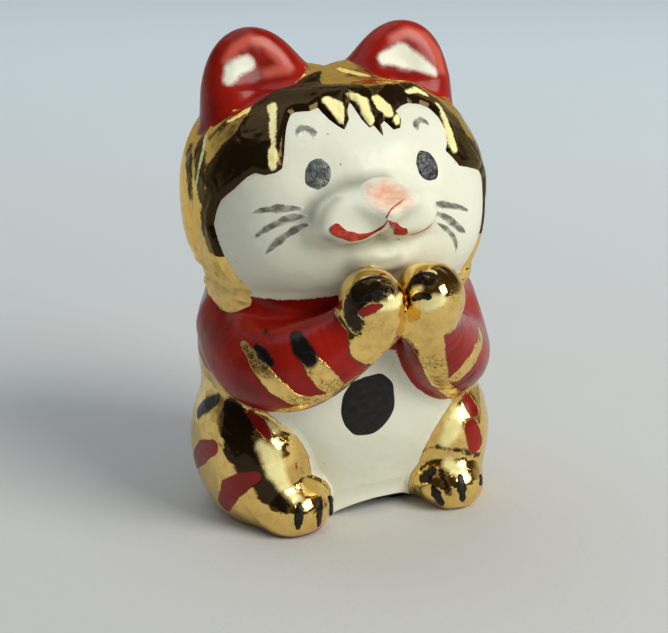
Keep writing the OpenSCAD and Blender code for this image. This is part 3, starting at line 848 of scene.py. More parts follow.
def torso_ring(z, inset, turn):
    """One ring of the torso at height z, drawn in by inset."""
    width, front, back = torso_outline(z)
    middle, deep = (front + back) / 2, (back - front) / 2
    c, s = np.cos(turn), np.sin(turn)
    x = (width - inset) * np.sign(c) * np.abs(c) ** (2 / TORSO_POWER)
    y = middle + (deep - inset) * np.sign(s) * np.abs(s) ** (2 / TORSO_POWER)
    return np.stack([x + 0 * z, y + 0 * z, z + 0 * x], -1)


def torso_grid(cols=380):
    """Up the inside, round the foot edge and up the outside, with a low arch in the foot edge in front."""
    turn = np.linspace(0, 2 * np.pi, cols, endpoint=False)[None, :]
    inner_z = np.linspace(HOLLOW_TOP, 0.35, 26)
    outer_z = np.linspace(0.35, NECK_Z - 0.3, 170)
    rim = np.linspace(0, np.pi, 9)[1:-1]
    rim_inset = WALL / 2 + WALL / 2 * np.cos(rim)
    rim_z = 0.35 * (1 - np.sin(rim))
    lid = np.linspace(0.3, 6.5, 14)
    z = np.concatenate([inner_z, rim_z, outer_z, NECK_Z + 0 * lid])[:, None]
    inset = np.concatenate([WALL + 0 * inner_z, rim_inset, 0 * outer_z, lid])[:, None]
    roof = np.linspace(6.5, WALL, 8)[:-1, None]
    grid = np.concatenate([torso_ring(HOLLOW_TOP + 0 * roof, roof, turn), torso_ring(z, inset, turn)])
    outside = len(roof) + len(inner_z) + len(rim_z)
    grid, _ = closed(grid, np.array([[0, 0, HOLLOW_TOP], [0, 0, NECK_Z]]))
    pushed = settle(grid[outside:], sink=0.09)
    push = pushed[0] - grid[outside]
    grid[outside:] = pushed
    grid[outside - len(rim):outside] += push * np.linspace(0, 1, len(rim))[:, None, None]
    lift_arch(grid)
    tips = np.array([grid[0].mean(0), grid[-1].mean(0)])
    return grid, tips


# ---------- enamel pieces ----------
def clay_normal(points, step=0.03):
    level = clay_distance(points)
    return unit(np.stack([clay_distance(points + step * np.eye(3)[i]) - level for i in range(3)], -1))


def on_clay(points, rounds=6):
    """Points moved along the union's normal until they lie on it, and the normals there."""
    for _ in range(rounds):
        points = points - 0.9 * clay_distance(points)[..., None] * clay_normal(points)
    return points, clay_normal(points)


def belly_skin(x, z):
    width, front, back = torso_outline(z)
    middle, deep = (front + back) / 2, (back - front) / 2
    y = middle - deep * (1 - np.clip(np.abs(x) / width, 0, 0.98) ** TORSO_POWER) ** (1 / TORSO_POWER)
    return np.stack([x, y, z], -1)


ENAMEL_SINK = 0.12


def dab_grid(skin, centre, half, lean, lift, rough=0.05, seed=0, rows=26, cols=96):
    """A brushed dab: rings over an oval of the skin, domed above the clay and flat below it.

    Its edge is uneven: the reach changes with the angle by a few sines whose phases come from the seed.
    """
    draw = np.random.default_rng(seed)
    phases, sizes = draw.uniform(0, 2 * np.pi, 12), draw.uniform(0.3, 1, 12)
    turn = np.linspace(0, 2 * np.pi, cols, endpoint=False)[None, :]
    edge = 1 + rough * sum(2 * sizes[k] / (k + 2) * np.sin((k + 2) * turn + phases[k]) for k in range(12))
    c, s = np.cos(turn), np.sin(turn)
    lower = np.linspace(0.08, 1, 6)[:, None]
    upper = 1 - np.linspace(0, 1, rows)[1:-1, None] ** 1.6
    reach = np.concatenate([lower * 0.97, upper]) * edge
    side, up = reach * c * half[0], reach * s * half[1]
    a = math.radians(lean)
    u = centre[0] + side * math.cos(a) - up * math.sin(a)
    v = centre[1] + side * math.sin(a) + up * math.cos(a)
    base, normal = on_clay(skin(u, v))
    height = np.concatenate([-ENAMEL_SINK + 0 * lower, -ENAMEL_SINK + (lift + ENAMEL_SINK) * (1 - upper**5)])
    grid = base + normal * (height + 0 * turn)[..., None]
    core = np.concatenate([0 * lower, 1 - upper]) + 0 * turn
    (grid, tips), core = closed(grid, np.array([grid[0].mean(0), grid[-1].mean(0)]), core)
    return grid, tips, np.append(core.ravel(), [0, 1])


def stroke_grid(path, lift, steps=60, cols=22, seed=0):
    """A brushed line through (x, y, z, width) knots on the clay, its width uneven and drawn in at both ends.

    An oval section is carried along the line. core is 1 along its middle and 0 at its sides.
    """
    draw = np.random.default_rng(seed)
    knots = np.array(path, float)
    run = np.concatenate([[0], np.cumsum(np.linalg.norm(np.diff(knots[:, :3], axis=0), axis=1))])
    share = np.linspace(0, 1, steps)
    degree = min(len(knots) - 1, 3)
    run = run / run[-1]
    fits = [np.polyfit(run, knots[:, i], degree) for i in range(3)]
    curve = np.stack([np.polyval(fit, share) for fit in fits], -1)
    width = np.interp(share, run, knots[:, 3])
    for k in (3, 5, 8, 13):
        width = width * (1 + 0.25 / k**0.7 * np.sin(k * np.pi * share + draw.uniform(0, 6)))
    base, normal = on_clay(curve)
    along = unit(np.gradient(base, axis=0))
    across = unit(np.cross(along, normal))
    taper = np.sqrt(np.clip(1 - np.abs(2 * share - 1) ** 5, 0.02, 1))
    half = width / 2 * taper
    turn = np.linspace(0, 2 * np.pi, cols, endpoint=False)
    side = np.cos(turn)[None, :] * half[:, None]
    up = np.where(np.sin(turn) > 0, lift * np.sin(turn), ENAMEL_SINK * np.sin(turn))[None, :] * taper[:, None]
    grid = base[:, None] + across[:, None] * side[..., None] + normal[:, None] * up[..., None]
    core = np.clip(np.sin(turn), 0, 1)[None, :] * smooth(taper * 1.3 - 0.3)[:, None]
    (grid, tips), core = closed(grid, np.array([grid[0].mean(0), grid[-1].mean(0)]), core)
    return grid, tips, np.append(core.ravel(), [0, 0])


# ---------- materials ----------
def new_group(name, inputs, outputs):
    """A shader node group with the named float inputs and outputs."""
    tree = bpy.data.node_groups.new(name, "ShaderNodeTree")
    for label, value in inputs:
        kind = "NodeSocketVector" if label == "Place" else "NodeSocketFloat"
        socket = tree.interface.new_socket(name=label, in_out="INPUT", socket_type=kind)
        if kind == "NodeSocketFloat":
            socket.default_value = value
    for label in outputs:
        tree.interface.new_socket(name=label, in_out="OUTPUT", socket_type="NodeSocketFloat")
    return tree, tree.nodes.new("NodeGroupInput"), tree.nodes.new("NodeGroupOutput")


def put(tree, target, value):
    """Sets a socket to a constant or links another node's socket to it."""
    if isinstance(value, bpy.types.NodeSocket):
        tree.links.new(value, target)
    else:
        target.default_value = value


def sums(tree, operation, *values, clamp=False):
    node = tree.nodes.new("ShaderNodeMath")
    node.operation = operation
    node.use_clamp = clamp
    for i, value in enumerate(values):
        put(tree, node.inputs[i], value)
    return node.outputs[0]


def noise(tree, place, scale, detail=2.0, rough=0.5, warp=0.0, shift=0.0):
    node = tree.nodes.new("ShaderNodeTexNoise")
    node.inputs["Scale"].default_value = scale
    node.inputs["Detail"].default_value = detail
    node.inputs["Roughness"].default_value = rough
    node.inputs["Distortion"].default_value = warp
    if shift:
        move = tree.nodes.new("ShaderNodeVectorMath")
        move.inputs[1].default_value = (shift, shift, shift)
        put(tree, move.inputs[0], place)
        place = move.outputs[0]
    put(tree, node.inputs["Vector"], place)
    return node.outputs["Fac"]


def ramp(tree, value, low, high):
    """0 below low, 1 above high, an S curve between."""
    node = tree.nodes.new("ShaderNodeMapRange")
    node.interpolation_type = "SMOOTHSTEP"
    put(tree, node.inputs["Value"], value)
    put(tree, node.inputs["From Min"], low)
    put(tree, node.inputs["From Max"], high)
    return node.outputs["Result"]


def blend_colours(tree, share, first, second):
    node = tree.nodes.new("ShaderNodeMix")
    node.data_type = "RGBA"
    put(tree, node.inputs["Factor"], share)
    put(tree, node.inputs["A"], (*first, 1) if isinstance(first, tuple) else first)
    put(tree, node.inputs["B"], (*second, 1) if isinstance(second, tuple) else second)
    return node.outputs["Result"]


def build_paint_edge():
    """Mask of a painted area from its edge distance in mm, made uneven by brush wobble."""
    inputs = [("Place", 0), ("Edge", 0.0), ("Wobble", 0.2), ("Softness", 0.05)]
    tree, source, result = new_group("Paint edge", inputs, ["Mask"])
    slow = noise(tree, source.outputs["Place"], 0.9, 3.0, 0.6)
    fine = noise(tree, source.outputs["Place"], 4.5, 2.0, 0.5, shift=7.0)
    slow = sums(tree, "SUBTRACT", slow, 0.5)
    fine = sums(tree, "SUBTRACT", fine, 0.5)
    mixed = sums(tree, "ADD", slow, sums(tree, "MULTIPLY", fine, 0.45))
    moved = sums(tree, "MULTIPLY_ADD", mixed, source.outputs["Wobble"], source.outputs["Edge"])
    low = sums(tree, "MULTIPLY", source.outputs["Softness"], -1.0)
    put(tree, result.inputs["Mask"], ramp(tree, moved, low, source.outputs["Softness"]))
    return tree


def build_lustre():
    """Fired gold: a crinkled skin of fine dark cracks over slow ripples, and darker worn patches."""
    inputs = [("Place", 0), ("Crinkle", 1.0)]
    tree, source, result = new_group("Gold lustre", inputs, ["Height", "Crack", "Wear"])
    place = source.outputs["Place"]
    cell = tree.nodes.new("ShaderNodeTexVoronoi")
    cell.feature = "DISTANCE_TO_EDGE"
    cell.inputs["Scale"].default_value = 2.6
    bent = tree.nodes.new("ShaderNodeVectorMath")
    bent.operation = "MULTIPLY_ADD"
    shake = tree.nodes.new("ShaderNodeTexNoise")
    shake.inputs["Scale"].default_value = 2.2
    shake.inputs["Detail"].default_value = 3
    put(tree, shake.inputs["Vector"], place)
    put(tree, bent.inputs[0], shake.outputs["Color"])
    bent.inputs[1].default_value = (0.7, 0.7, 0.7)
    put(tree, bent.inputs[2], place)
    put(tree, cell.inputs["Vector"], bent.outputs[0])
    crack = sums(tree, "SUBTRACT", 1.0, ramp(tree, cell.outputs["Distance"], 0.0, 0.09))
    where = ramp(tree, noise(tree, place, 0.55, 2.0, 0.5, shift=3.0), 0.46, 0.6)
    crack = sums(tree, "MULTIPLY", sums(tree, "MULTIPLY", crack, where), source.outputs["Crinkle"])
    slow = noise(tree, place, 0.62, 1.0, 0.4, 0.6)
    fine = noise(tree, place, 4.0, 2.0, 0.5, 0.3, shift=11.0)
    fine = sums(tree, "MULTIPLY", sums(tree, "MULTIPLY", fine, source.outputs["Crinkle"]), 0.02)
    height = sums(tree, "MULTIPLY_ADD", slow, 0.22, fine)
    put(tree, result.inputs["Height"], sums(tree, "MULTIPLY_ADD", crack, -0.02, height))
    put(tree, result.inputs["Crack"], crack)
    put(tree, result.inputs["Wear"], ramp(tree, noise(tree, place, 1.3, 4.0, 0.65, shift=5.0), 0.4, 0.75))
    return tree


def build_glaze():
    """Clear glaze: slow ripples, a faint mottle, and scattered pinholes."""
    inputs = [("Place", 0), ("Ripple", 1.0)]
    tree, source, result = new_group("Glaze", inputs, ["Height", "Mottle", "Pinhole"])
    place = source.outputs["Place"]
    slow = noise(tree, place, 0.42, 2.0, 0.5)
    fine = noise(tree, place, 2.2, 2.0, 0.5, shift=13.0)
    wave = sums(tree, "MULTIPLY_ADD", slow, 0.14, sums(tree, "MULTIPLY", fine, 0.012))
    spot = tree.nodes.new("ShaderNodeTexVoronoi")
    spot.inputs["Scale"].default_value = 0.55
    put(tree, spot.inputs["Vector"], place)
    hole = sums(tree, "SUBTRACT", 1.0, ramp(tree, spot.outputs["Distance"], 0.035, 0.075))
    wave = sums(tree, "MULTIPLY", wave, source.outputs["Ripple"])
    put(tree, result.inputs["Height"], sums(tree, "MULTIPLY_ADD", hole, -0.03, wave))
    put(tree, result.inputs["Mottle"], noise(tree, place, 0.35, 4.0, 0.6, shift=2.0))
    put(tree, result.inputs["Pinhole"], hole)
    return tree


def build_brush():
    """Brushed enamel: short streaks and lumps of thick colour."""
    tree, source, result = new_group("Brushed enamel", [("Place", 0), ("Grain", 1.0)], ["Height", "Streak"])
    place = source.outputs["Place"]
    stretch = tree.nodes.new("ShaderNodeMapping")
    stretch.inputs["Rotation"].default_value = (0.3, 0.5, 0.7)
    stretch.inputs["Scale"].default_value = (1.3, 1.6, 2.3)
    put(tree, stretch.inputs["Vector"], place)
    streak = noise(tree, stretch.outputs[0], 1.2, 2.0, 0.5)
    lump = noise(tree, place, 3.2, 3.0, 0.6, shift=9.0)
    height = sums(tree, "MULTIPLY_ADD", streak, 0.05, sums(tree, "MULTIPLY", lump, 0.06))
    put(tree, result.inputs["Height"], sums(tree, "MULTIPLY", height, source.outputs["Grain"]))
    put(tree, result.inputs["Streak"], ramp(tree, streak, 0.32, 0.72))
    return tree


paint_edge, lustre, glaze, brushed = build_paint_edge(), build_lustre(), build_glaze(), build_brush()


def start_material(name):
    material = bpy.data.materials.new(name)
    material.use_nodes = True
    tree = material.node_tree
    shader = tree.nodes["Principled BSDF"]
    coordinates = tree.nodes.new("ShaderNodeTexCoord")
    scale = tree.nodes.new("ShaderNodeVectorMath")
    scale.operation = "SCALE"
    scale.inputs["Scale"].default_value = 1000
    tree.links.new(coordinates.outputs["Object"], scale.inputs[0])
    return material, tree, shader, scale.outputs[0]


def use(tree, group, place, **values):
    node = tree.nodes.new("ShaderNodeGroup")
    node.node_tree = group
    put(tree, node.inputs["Place"], place)
    for label, value in values.items():
        put(tree, node.inputs[label], value)
    return node.outputs


def field(tree, name):
    node = tree.nodes.new("ShaderNodeAttribute")
    node.attribute_name = name
    return node.outputs["Fac"]


def bump(tree, shader, height, strength=1.0):
    node = tree.nodes.new("ShaderNodeBump")
    node.inputs["Strength"].default_value = strength
    node.inputs["Distance"].default_value = 0.001
    put(tree, node.inputs["Height"], height)
    put(tree, shader.inputs["Normal"], node.outputs["Normal"])


WHITE, CREAM, PINHOLE_AND_SHADE_GREY = (0.80, 0.83, 0.70), (0.79, 0.77, 0.59), (0.27, 0.27, 0.20)
DEEP_RED, RED = (0.17, 0.004, 0.002), (0.36, 0.011, 0.004)
GOLD, OLD_GOLD = (0.95, 0.66, 0.21), (0.55, 0.31, 0.08)
BLACK = (0.008, 0.007, 0.006)
# Painted dark reflection: the dark room in front mirrored in the gold, laid into its colour.
DARK_REFLECTION_BROWN = (0.040, 0.023, 0.009)
REFLECTION_PINK = (0.66, 0.13, 0.085)
# Painted highlight: the window's light mirrored in the gold, laid into its colour as a pale yellow.
HIGHLIGHT_GOLD = (1.0, 0.91, 0.42)
CRACK_BROWN = (0.10, 0.05, 0.015)


def painted_clay(name, ground, crinkle=1.0, foil_rough=0.10, highlight_soft=0.1, shine=0.36, tint=(1, 1, 1, 1)):
    """Glazed clay with red, gold and black laid over it in that order where the edge fields say.

    ground is "white" or "gold", the colour wherever no other field reaches.
    """
    material, tree, shader, place = start_material(name)
    skin = use(tree, glaze, place, Ripple=1.0)
    foil = use(tree, lustre, place, Crinkle=crinkle)
    red = use(tree, paint_edge, place, Edge=field(tree, "red_edge"), Wobble=0.3, Softness=0.06)["Mask"]
    gold = use(tree, paint_edge, place, Edge=field(tree, "gold_edge"), Wobble=0.35, Softness=0.05)["Mask"]
    black = use(tree, paint_edge, place, Edge=field(tree, "black_edge"), Wobble=0.5, Softness=0.14)["Mask"]
    # dark is a mask of painted dark reflection on the gold, pale a mask of painted highlight.
    dark = use(tree, paint_edge, place, Edge=field(tree, "dark_edge"), Wobble=1.0, Softness=0.12)["Mask"]
    bare = use(tree, paint_edge, place, Edge=field(tree, "white_edge"), Wobble=0.35, Softness=0.22)["Mask"]
    pale = use(tree, paint_edge, place, Edge=field(tree, "highlight_edge"), Wobble=0.4, Softness=highlight_soft)["Mask"]
    if ground == "gold":
        gold = sums(tree, "MAXIMUM", gold, 1.0)
    shade = field(tree, "shade")
    white = blend_colours(tree, skin["Mottle"], WHITE, CREAM)
    # Painted shade: the white turns grey where the shade field says.
    white = blend_colours(tree, sums(tree, "MULTIPLY", shade, 0.8, clamp=True), white, PINHOLE_AND_SHADE_GREY)
    white = blend_colours(tree, sums(tree, "MULTIPLY", skin["Pinhole"], 0.5), white, PINHOLE_AND_SHADE_GREY)
    thick = ramp(tree, noise(tree, place, 0.35, 2.0, 0.5, shift=4.0), 0.2, 0.85)
    red_colour = blend_colours(tree, thick, RED, DEEP_RED)
    # Painted reflection: the ears' red turns pink where the shade field says.
    red_colour = blend_colours(tree, sums(tree, "MULTIPLY", shade, 0.75), red_colour, REFLECTION_PINK)
    worn = foil["Wear"]
    gold_colour = blend_colours(tree, sums(tree, "MULTIPLY", worn, 0.45), GOLD, OLD_GOLD)
    gold_colour = blend_colours(tree, sums(tree, "MULTIPLY", foil["Crack"], 0.8), gold_colour, CRACK_BROWN)
    # Painted dark reflection, then painted highlight, laid into the gold's colour.
    gold_colour = blend_colours(tree, dark, gold_colour, DARK_REFLECTION_BROWN)
    gold_colour = blend_colours(tree, pale, gold_colour, HIGHLIGHT_GOLD)
    colour = blend_colours(tree, red, white, red_colour)
    colour = blend_colours(tree, sums(tree, "MULTIPLY", bare, red), colour, white)
    colour = blend_colours(tree, gold, colour, gold_colour)
    colour = blend_colours(tree, black, colour, BLACK)
    tree.links.new(colour, shader.inputs["Base Color"])
    metal = sums(tree, "MULTIPLY", gold, sums(tree, "SUBTRACT", 1.0, black))
    dull = sums(tree, "MULTIPLY_ADD", dark, -0.3, sums(tree, "MULTIPLY_ADD", pale, -0.8, 1.0))
    dull = sums(tree, "MULTIPLY_ADD", shade, -0.75, dull, clamp=True)
    metal = sums(tree, "MULTIPLY", metal, dull)
    tree.links.new(metal, shader.inputs["Metallic"])
    fired = sums(tree, "MULTIPLY_ADD", skin["Mottle"], 0.16, 0.17)
    foil_rough = sums(tree, "MULTIPLY_ADD", worn, 0.6 * foil_rough, foil_rough)
    rough = tree.nodes.new("ShaderNodeMix")
    put(tree, rough.inputs["Factor"], metal)
    put(tree, rough.inputs["A"], fired)
    put(tree, rough.inputs["B"], foil_rough)
    tree.links.new(rough.outputs["Result"], shader.inputs["Roughness"])
    shader.inputs["IOR"].default_value = 1.52
    shader.inputs["Specular IOR Level"].default_value = shine
    shader.inputs["Specular Tint"].default_value = tint
    step = sums(tree, "MULTIPLY", gold, 0.05)
    height = sums(tree, "MULTIPLY_ADD", red, 0.02, sums(tree, "MULTIPLY_ADD", black, 0.02, step))
    height = sums(tree, "ADD", height, skin["Height"])
    height = sums(tree, "ADD", height, sums(tree, "MULTIPLY", foil["Height"], gold))
    bump(tree, shader, height, 0.9)
    return material


def enamel(name, thin, thick, rough, grain=1.0, feather=0.0, ragged=0.3, shine=0.5):
    """Brushed enamel: two depths of one colour in streaks, lumpy and glossy.

    feather is how far in from its edge the white glaze still shows through, ragged how uneven that edge is.
    """
    material, tree, shader, place = start_material(name)
    stroke = use(tree, brushed, place, Grain=grain)
    colour = blend_colours(tree, stroke["Streak"], thick, thin)
    if feather:
        uneven = sums(tree, "MULTIPLY_ADD", stroke["Streak"], -ragged * feather, field(tree, "core"))
        colour = blend_colours(tree, ramp(tree, uneven, 0.0, feather), WHITE, colour)
    tree.links.new(colour, shader.inputs["Base Color"])
    tree.links.new(sums(tree, "MULTIPLY_ADD", stroke["Streak"], 0.15, rough), shader.inputs["Roughness"])
    shader.inputs["Specular IOR Level"].default_value = shine
    bump(tree, shader, stroke["Height"], 0.8)
    return material


white_glaze = painted_clay("white glaze", "white", 0.5, 0.12, shine=0.22)
leg_glaze = painted_clay("leg glaze", "white", 0.2, 0.10, 0.28, 0.3)
red_glaze = painted_clay("red glaze", "white", 1.0, 0.20, shine=0.24)
gold_glaze = painted_clay("gold lustre", "gold", 0.12, 0.10, 0.09, tint=(1.0, 0.80, 0.48, 1))
paw_glaze = painted_clay("paw lustre", "white", 0.3, 0.09, 0.2)
eye_grey = enamel("eye enamel", (0.18, 0.20, 0.185), (0.052, 0.060, 0.055), 0.14, 2.2)
eye_dark = enamel("dark eye enamel", (0.075, 0.082, 0.092), (0.009, 0.010, 0.012), 0.12, 2.6)
whisker_grey = enamel("whisker enamel", (0.36, 0.36, 0.29), (0.13, 0.13, 0.10), 0.3, 1.0, 0.85)
nose_coral = enamel("nose enamel", (0.90, 0.60, 0.41), (0.84, 0.43, 0.27), 0.2, 0.2, 0.8, 0.05, 0.3)
mouth_red = enamel("mouth enamel", (0.56, 0.045, 0.018), (0.30, 0.012, 0.005), 0.2, 0.6, 0.2)
spot_black = enamel("spot enamel", (0.016, 0.0155, 0.015), (0.007, 0.0065, 0.0065), 0.45, 1.4, shine=0.25)
claw_black = enamel("claw enamel", (0.020, 0.015, 0.010), (0.005, 0.004, 0.003), 0.25, shine=0.3)


# ---------- paint ----------
COLLAR_RISE = -30.4


def head_paint(points):
    """Red round the ears' roots on the crown, red below the collar line, and painted shade round the muzzle.
    """
    local = into_ball(head, points)
    bearing, rise = bearings(unit(local))
    collar = (COLLAR_RISE + 0.9 * np.sin(np.radians(3 * bearing)) - rise) * math.radians(HEAD_REACH)
    return {
        "red_edge": np.maximum(ear_red(points), collar),
        "white_edge": stroke_field(points, EAR_WHITE),
        "shade": 0.9 * smooth((stroke_field(points, MUZZLE_SHADE) + 0.8) / 1.3),
    }


def hood_paint(points):
    """A painted dark reflection along the face's edge, widest on the cat's right temple, with painted
    highlight streaks.

    shade is where the gold is less like metal. Strokes are looked up on the clay under the gold.
    """
    bearing, rise = bearings(unit(into_ball(head, points)))
    clay = points - 1.3 * GOLD_LIFT * unit(points - HEAD_CENTRE)
    depth = -face_depth(bearing, rise)
    temple = np.exp(-(((bearing + 46) / 19) ** 2)) * smooth((rise - 6) / 9)
    border = 1.25 + 0.75 * smooth((rise - 4) / 10) + 3.3 * temple
    dark = np.where(rise > -16, border - depth, -2.0)
    return {
        "dark_edge": np.maximum(dark, stroke_field(clay, HOOD_DARK)),
        "highlight_edge": 0.03 + stroke_field(clay, HOOD_HIGHLIGHT),
        "shade": smooth((stroke_field(clay, HOOD_SATIN) + 0.2) / 0.7),
    }


def ear_paint(points):
    """Red, with a white hollow low in front, a painted pink reflection round it, and gold on the skirt
    towards the crown.
    """
    red = ear_red(points)
    pink = smooth((stroke_field(points, EAR_REFLECTION) + 0.35) / 0.6)
    return {
        "red_edge": red,
        "gold_edge": -red,
        "white_edge": stroke_field(points, EAR_WHITE),
        "shade": pink * (red > 0),
    }


def costume_bands(points):
    """Gold bands round the flanks and the back: millimetres inside the nearest of three wavy rings."""
    x, y, z = points[..., 0], points[..., 1], points[..., 2]
    angle = np.arctan2(x, y)
    wave = 0.5 * np.sin(3 * angle + 0.6) + 0.3 * np.sin(7 * angle)
    centres = np.array([2.4, 6.4, 10.4])
    return 1.15 - np.abs((z + wave)[..., None] - centres).min(-1)


def body_paint(points):
    """The coat is red with gold bands, the belly white, the haunches and hind feet gold with red bands.

    Black is also laid on the hollow inside, wherever a point is well within the torso's outer skin, as
    painted shade.
    """
    x, y, z = points[..., 0], points[..., 1], points[..., 2]
    gaps = clay_parts(points)
    arms = np.minimum(gaps["left_foreleg"], gaps["right_foreleg"])
    legs = np.minimum(gaps["left_haunch"], gaps["right_haunch"])
    soles = np.minimum(gaps["left_foot"], gaps["right_foot"])
    torso = np.minimum(gaps["torso"], gaps["tail"])
    collar = np.minimum(z - 13.2, 9.0)
    sides = np.minimum(np.maximum(y + 3.4, np.abs(x) - 8.2), 9.0)
    coat = np.maximum(collar, sides)
    on_arm = np.minimum(torso, legs) - arms
    on_leg = np.minimum(torso, arms) - np.minimum(legs, soles)
    leg_red = stroke_field(points, LEG_RED)
    bands = costume_bands(points)
    closing = 1 - smooth((y - 0.8) / 2.8)
    leg_gold = np.minimum(on_leg + 0.3, -leg_red)
    leg_gold = np.minimum(leg_gold, bands + closing)
    coat_gold = np.minimum(np.minimum(sides, np.minimum(12.6 - z, bands)), np.minimum(-on_arm, -on_leg))
    stripes = stroke_field(points, ARM_GOLD)
    arm_gold = np.minimum(stripes, on_arm + 0.5)
    # Painted shade: black inside the hollow stands for its deep shadow.
    hollow = -0.6 - gaps["torso"] - 9.0 * (torso > 0)
    return {
        "red_edge": np.maximum(np.maximum(coat, on_arm + 0.2), np.minimum(on_leg + 0.3, 9)),
        "gold_edge": np.maximum(np.maximum(leg_gold, coat_gold), arm_gold),
        "black_edge": np.maximum(stroke_field(points, ARM_BLACK + LEG_BLACK), hollow),
        # Painted dark reflection and painted highlights on the leg gold.
        "dark_edge": stroke_field(points, LEG_DARK),
        "highlight_edge": stroke_field(points, LEG_HIGHLIGHT),
    }


def paw_paint(points):
    """Gold with painted dark reflections, painted highlights and a spot where red shows; red again where a
    pad joins its foreleg.
    """
    gaps = clay_parts(points)
    pads = np.minimum(gaps["left_paw"], gaps["right_paw"])
    beyond = 0.3 + pads - np.minimum(gaps["left_foreleg"], gaps["right_foreleg"])
    spot = stroke_field(points, PAW_RED)
    return {
        "dark_edge": np.minimum(stroke_field(points, PAW_DARK), 0.2 - beyond),
        "highlight_edge": stroke_field(points, PAW_HIGHLIGHT),
        "red_edge": np.maximum(spot, beyond - 0.5),
        "gold_edge": np.maximum(np.minimum(0.05 - spot, 0.5 - beyond), stroke_field(points, ARM_GOLD)),
    }


# ---------- the pieces ----------
make_piece("face_and_head", [head_grid()], ["head_shell"], white_glaze, head_paint)
make_piece("gold_hood_relief", [hood_grid()], ["gold_hood"], gold_glaze, hood_paint)
make_piece("hollow_torso", [torso_grid()], ["body_shell"], white_glaze, body_paint)
for name, side in SIDES.items():
    make_piece(name + "_ear_cup", [ear_grid(side)], [name + "_ear"], white_glaze, ear_paint)
    roll = foreleg_grid(name)
    make_piece(name + "_foreleg_roll", [roll], [name + "_foreleg"], red_glaze, body_paint)
    pad = ball_piece(paws[name], 110, 150)
    make_piece(name + "_paw_pad", [pad], [name + "_forepaw"], paw_glaze, paw_paint)
    thigh = ball_piece(haunches[name], 170, 220, sink=0.05)
    make_piece(name + "_thigh", [thigh], [name + "_haunch"], leg_glaze, body_paint)
    hind = ball_piece(feet[name], 110, 170, sink=0.035)
    make_piece(name + "_hind_paw", [hind], [name + "_hind_foot"], leg_glaze, body_paint)
make_piece("round_tail", [ball_piece(tail, 90, 120, sink=0.02)], ["bobtail"], gold_glaze)

BROW = ((26.5, 31.2, 0.42), (28.6, 35.2, 0.62), (31.8, 35.6, 0.66), (33.6, 31.6, 0.42))
EYES = {"left": eye_dark, "right": eye_grey}
WHISKERS = {"left": LEFT_WHISKERS, "right": RIGHT_WHISKERS}
PAW_LINES = {"left": LEFT_PAW_LINES, "right": RIGHT_PAW_LINES}
FOOT_LINES = {"left": LEFT_FOOT_LINES, "right": RIGHT_FOOT_LINES}


def lines(paths, lift, seed):
    return [stroke_grid(path, lift, seed=seed + i) for i, path in enumerate(paths)]


for name, side in SIDES.items():
    eye = dab_grid(head_skin, (side * 23.8, 17.4), (5.7, 6.8), side * 8, 0.13, 0.035, 3 + side)
    make_piece(name + "_eye_dab", [eye], [name + "_eye"], EYES[name])
    brow = [(*head_skin(side * b, r), w) for b, r, w in BROW]
    make_piece(name + "_brow_line", lines([brow], 0.04, 11), [name + "_brow"], whisker_grey)
    make_piece(name + "_whisker_lines", lines(WHISKERS[name], 0.05, 20 + side), [name + "_whiskers"],
               whisker_grey)
    make_piece(name + "_paw_lines", lines(PAW_LINES[name], 0.06, 30 + side), [name + "_paw_claw_lines"],
               claw_black)
    make_piece(name + "_toe_lines", lines(FOOT_LINES[name], 0.06, 40 + side), [name + "_foot_claw_lines"],
               claw_black)
nose = dab_grid(head_skin, (0.3, 9.4), (11.5, 8.0), -6, 0.04, 0.03, 8)
make_piece("nose_dab", [nose], ["nose_enamel"], nose_coral)
make_piece("mouth_lines", lines(MOUTH + PHILTRUM, 0.07, 50), ["mouth_line"], mouth_red)
spot = dab_grid(belly_skin, (-0.85, 9.35), (2.3, 2.6), -12, 0.12, 0.03, 5, 40, 150)
make_piece("belly_dab", [spot], ["belly_spot"], spot_black)


# ---------- floor and light ----------
def aim(obj, spot, target):
    spot, target = np.array(spot, float), np.array(target, float)
    back = unit(spot - target)
    side = unit(np.cross([0, 0, 1.0], back))
    up = np.cross(back, side)
    turned = Matrix([list(row) for row in np.array([side, up, back]).T]).to_4x4()
    obj.matrix_world = Matrix.Translation([float(v) for v in place(spot)]) @ turned


def area_light(name, spot, target, width, height, power, colour):
    lamp = bpy.data.lights.new(name, "AREA")
    lamp.shape = "RECTANGLE"
    lamp.size, lamp.size_y = width * MM, height * MM
    lamp.energy, lamp.color = power, colour
    obj = bpy.data.objects.new(name, lamp)
    bpy.context.scene.collection.objects.link(obj)
    aim(obj, spot, target)


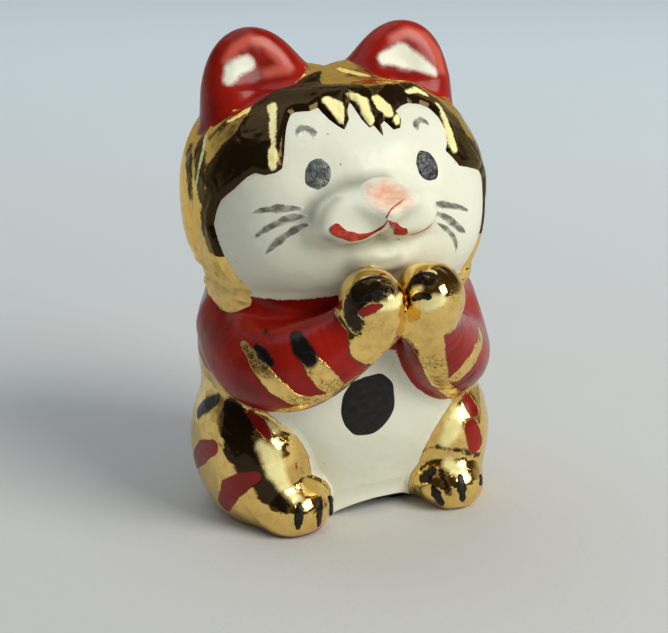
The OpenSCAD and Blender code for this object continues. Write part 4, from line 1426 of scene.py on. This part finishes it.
def make_floor():
    """A flat pale sheet, a little warmer near the camera than far behind the cat, and with painted light:
    much paler and bluer far off, where the lamps' light falls off.
    """
    reach = 2.0
    mesh = bpy.data.meshes.new("floor")
    corners = [(-reach, -reach, 0), (reach, -reach, 0), (reach, reach, 0), (-reach, reach, 0)]
    mesh.from_pydata(corners, [], [(0, 1, 2, 3)])
    floor = bpy.data.objects.new("floor", mesh)
    bpy.context.scene.collection.objects.link(floor)
    material, tree, shader, spot = start_material("pale sheet")
    parts = tree.nodes.new("ShaderNodeSeparateXYZ")
    tree.links.new(spot, parts.inputs[0])
    depth = sums(tree, "MULTIPLY_ADD", parts.outputs["X"], math.sin(math.radians(-CAMERA_AZIMUTH)),
                 sums(tree, "MULTIPLY", parts.outputs["Y"], math.cos(math.radians(CAMERA_AZIMUTH))))
    away = ramp(tree, depth, -60.0, 260.0)
    speck = ramp(tree, noise(tree, spot, 1.1, 5.0, 0.75), 0.72, 0.8)
    # Painted light: the far sheet is paler and bluer than the near one.
    colour = blend_colours(tree, away, (0.60, 0.595, 0.565), (0.86, 0.955, 0.99))
    colour = blend_colours(tree, sums(tree, "MULTIPLY", speck, 0.25), colour, (0.38, 0.38, 0.38))
    tree.links.new(colour, shader.inputs["Base Color"])
    shader.inputs["Roughness"].default_value = 0.8
    bump(tree, shader, sums(tree, "MULTIPLY", noise(tree, spot, 3.0, 3.0), 0.04), 0.5)
    mesh.materials.append(material)


def make_world():
    """Soft pale light all round. Gloss mirrors a dark room in front and above, and pale paper behind."""
    world = bpy.data.worlds.new("studio")
    bpy.context.scene.world = world
    world.use_nodes = True
    tree = world.node_tree
    background = tree.nodes["Background"]
    coordinates = tree.nodes.new("ShaderNodeTexCoord")
    turned = tree.nodes.new("ShaderNodeVectorMath")
    turned.operation = "DOT_PRODUCT"
    tree.links.new(coordinates.outputs["Generated"], turned.inputs[0])
    turned.inputs[1].default_value = (-0.25, -0.70, 0.67)
    front = ramp(tree, turned.outputs["Value"], -0.30, 0.22)
    mirrored = blend_colours(tree, front, (0.46, 0.46, 0.40), (0.046, 0.030, 0.019))
    soft = blend_colours(tree, front, (0.53, 0.59, 0.65), (0.33, 0.35, 0.37))
    seen = tree.nodes.new("ShaderNodeLightPath")
    room = blend_colours(tree, seen.outputs["Is Glossy Ray"], soft, mirrored)
    room = blend_colours(tree, seen.outputs["Is Camera Ray"], room, (0.63, 0.72, 0.785))
    tree.links.new(room, background.inputs["Color"])
    background.inputs["Strength"].default_value = 0.8


make_floor()
make_world()
area_light("window", (195, -305, 275), (0, 0, 18), 250, 270, 1.66, (1.0, 0.98, 0.92))
area_light("sky", (-60, 180, 540), (0, 0, 10), 480, 480, 0.72, (0.86, 0.93, 1.0))
